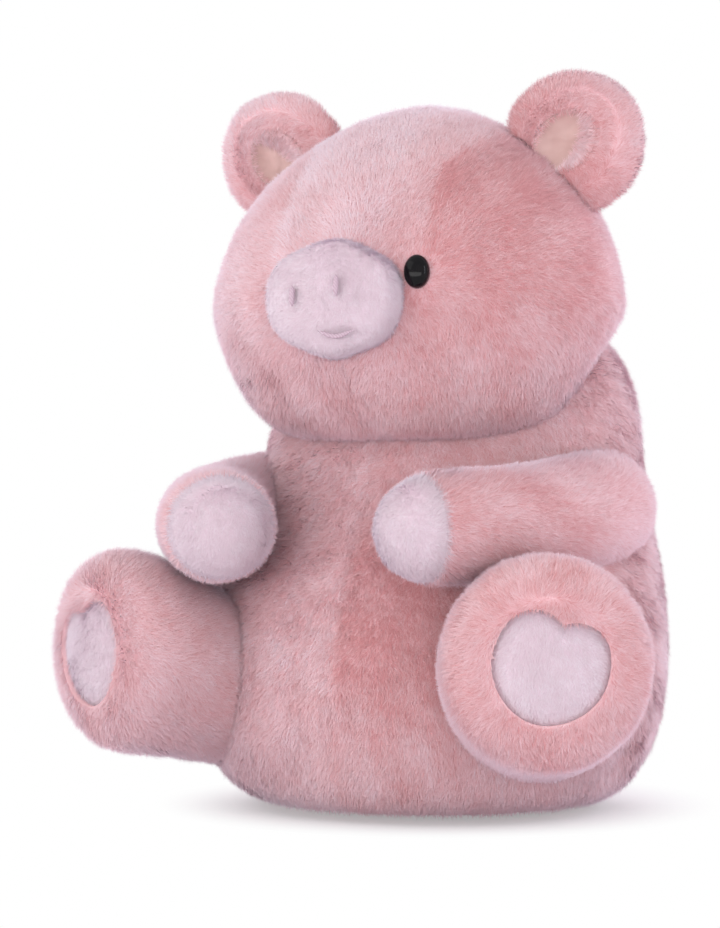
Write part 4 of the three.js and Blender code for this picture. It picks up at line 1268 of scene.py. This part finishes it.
floor = Finish("floor")
floor.set(Roughness=0.9, Specular_IOR_Level=0.05, Base_Color=(0.94, 0.9, 0.955, 1))
white = floor.add("ShaderNodeEmission", Color=(1, 1, 1, 1)).outputs[0]
spot = floor.add("ShaderNodeVectorMath", operation="LENGTH")
floor.link(floor.place_of(), spot.inputs[0])
fade = dict(interpolation_type="SMOOTHSTEP", From_Min=0.07, From_Max=0.12, To_Min=0.35)
fade = floor.fed("ShaderNodeMapRange", spot.outputs["Value"], **fade)
seen = floor.add("ShaderNodeLightPath").outputs
rays = floor.greatest(seen["Is Camera Ray"], seen["Is Glossy Ray"], seen["Is Transmission Ray"])
share = floor.fed("ShaderNodeMath", rays, fade, operation="MULTIPLY")
mix = floor.fed("ShaderNodeMixShader", share, floor.shader.outputs[0], white)
floor.link(mix, floor.tree.nodes["Material Output"].inputs["Surface"])
bpy.ops.mesh.primitive_plane_add(size=30)
ground = bpy.context.object
ground.name = "floor"
ground.data.materials.append(floor.material)

world = bpy.data.worlds.new("studio")
scene.world = world
world.use_nodes = True
studio = Nodes(world.node_tree)
soft = studio.give(studio.tree.nodes["Background"], Color=(1.0, 0.99, 1.0, 1), Strength=0.78)
plain = studio.add("ShaderNodeBackground", Color=(1, 1, 1, 1), Strength=1.0)
seen = studio.add("ShaderNodeLightPath").outputs
rays = studio.greatest(seen["Is Camera Ray"], seen["Is Transmission Ray"])
choice = studio.fed("ShaderNodeMixShader", rays, soft.outputs[0], plain.outputs[0])
studio.link(choice, studio.tree.nodes["World Output"].inputs["Surface"])

TARGET = np.array([-2.4, -68.5, 140]) * MM


def lamp(name, spot, size, power, colour=(1, 1, 1)):
    data = bpy.data.lights.new(name, "AREA")
    data.shape, data.size, data.size_y, data.energy, data.color = "RECTANGLE", *size, power, colour
    made = bpy.data.objects.new(name, data)
    made.location = spot
    made.rotation_euler = (Vector(TARGET) - Vector(spot)).to_track_quat("-Z", "Y").to_euler()
    scene.collection.objects.link(made)


lamp("key", (-0.9, -1.3, 1.2), (1.4, 1.0), 3.5, (1.0, 0.99, 0.98))
lamp("fill", (0.1, -1.85, 0.27), (3.6, 0.5), 16.5, (1.0, 0.985, 0.98))
lamp("side", (1.55, -0.27, 0.6), (0.15, 0.9), 3, (0.85, 0.9, 1.0))
lamp("rim_right", (1.0, 1.2, 0.6), (1.0, 1.0), 8.5, (0.88, 0.91, 1.0))
lamp("rim_left", (-1.2, 1.0, 0.6), (1.0, 1.0), 8, (0.9, 0.92, 1.0))

AZIMUTH, ELEVATION, DISTANCE, WIDTH = math.radians(27), math.radians(-0.5), 1.05, 0.284
flat = math.cos(ELEVATION)
away = np.array([math.sin(AZIMUTH) * flat, -math.cos(AZIMUTH) * flat, math.sin(ELEVATION)])
camera_data = bpy.data.cameras.new("camera")
camera = bpy.data.objects.new("camera", camera_data)
scene.collection.objects.link(camera)
scene.camera = camera
camera_data.sensor_fit = "HORIZONTAL"
camera_data.sensor_width = 36
camera_data.lens = 36 * DISTANCE / WIDTH
camera_data.clip_start, camera_data.clip_end = 0.05, 100
camera.location = TARGET + away * DISTANCE
camera.rotation_mode = "QUATERNION"
camera.rotation_quaternion = Vector(-away).to_track_quat("-Z", "Y")
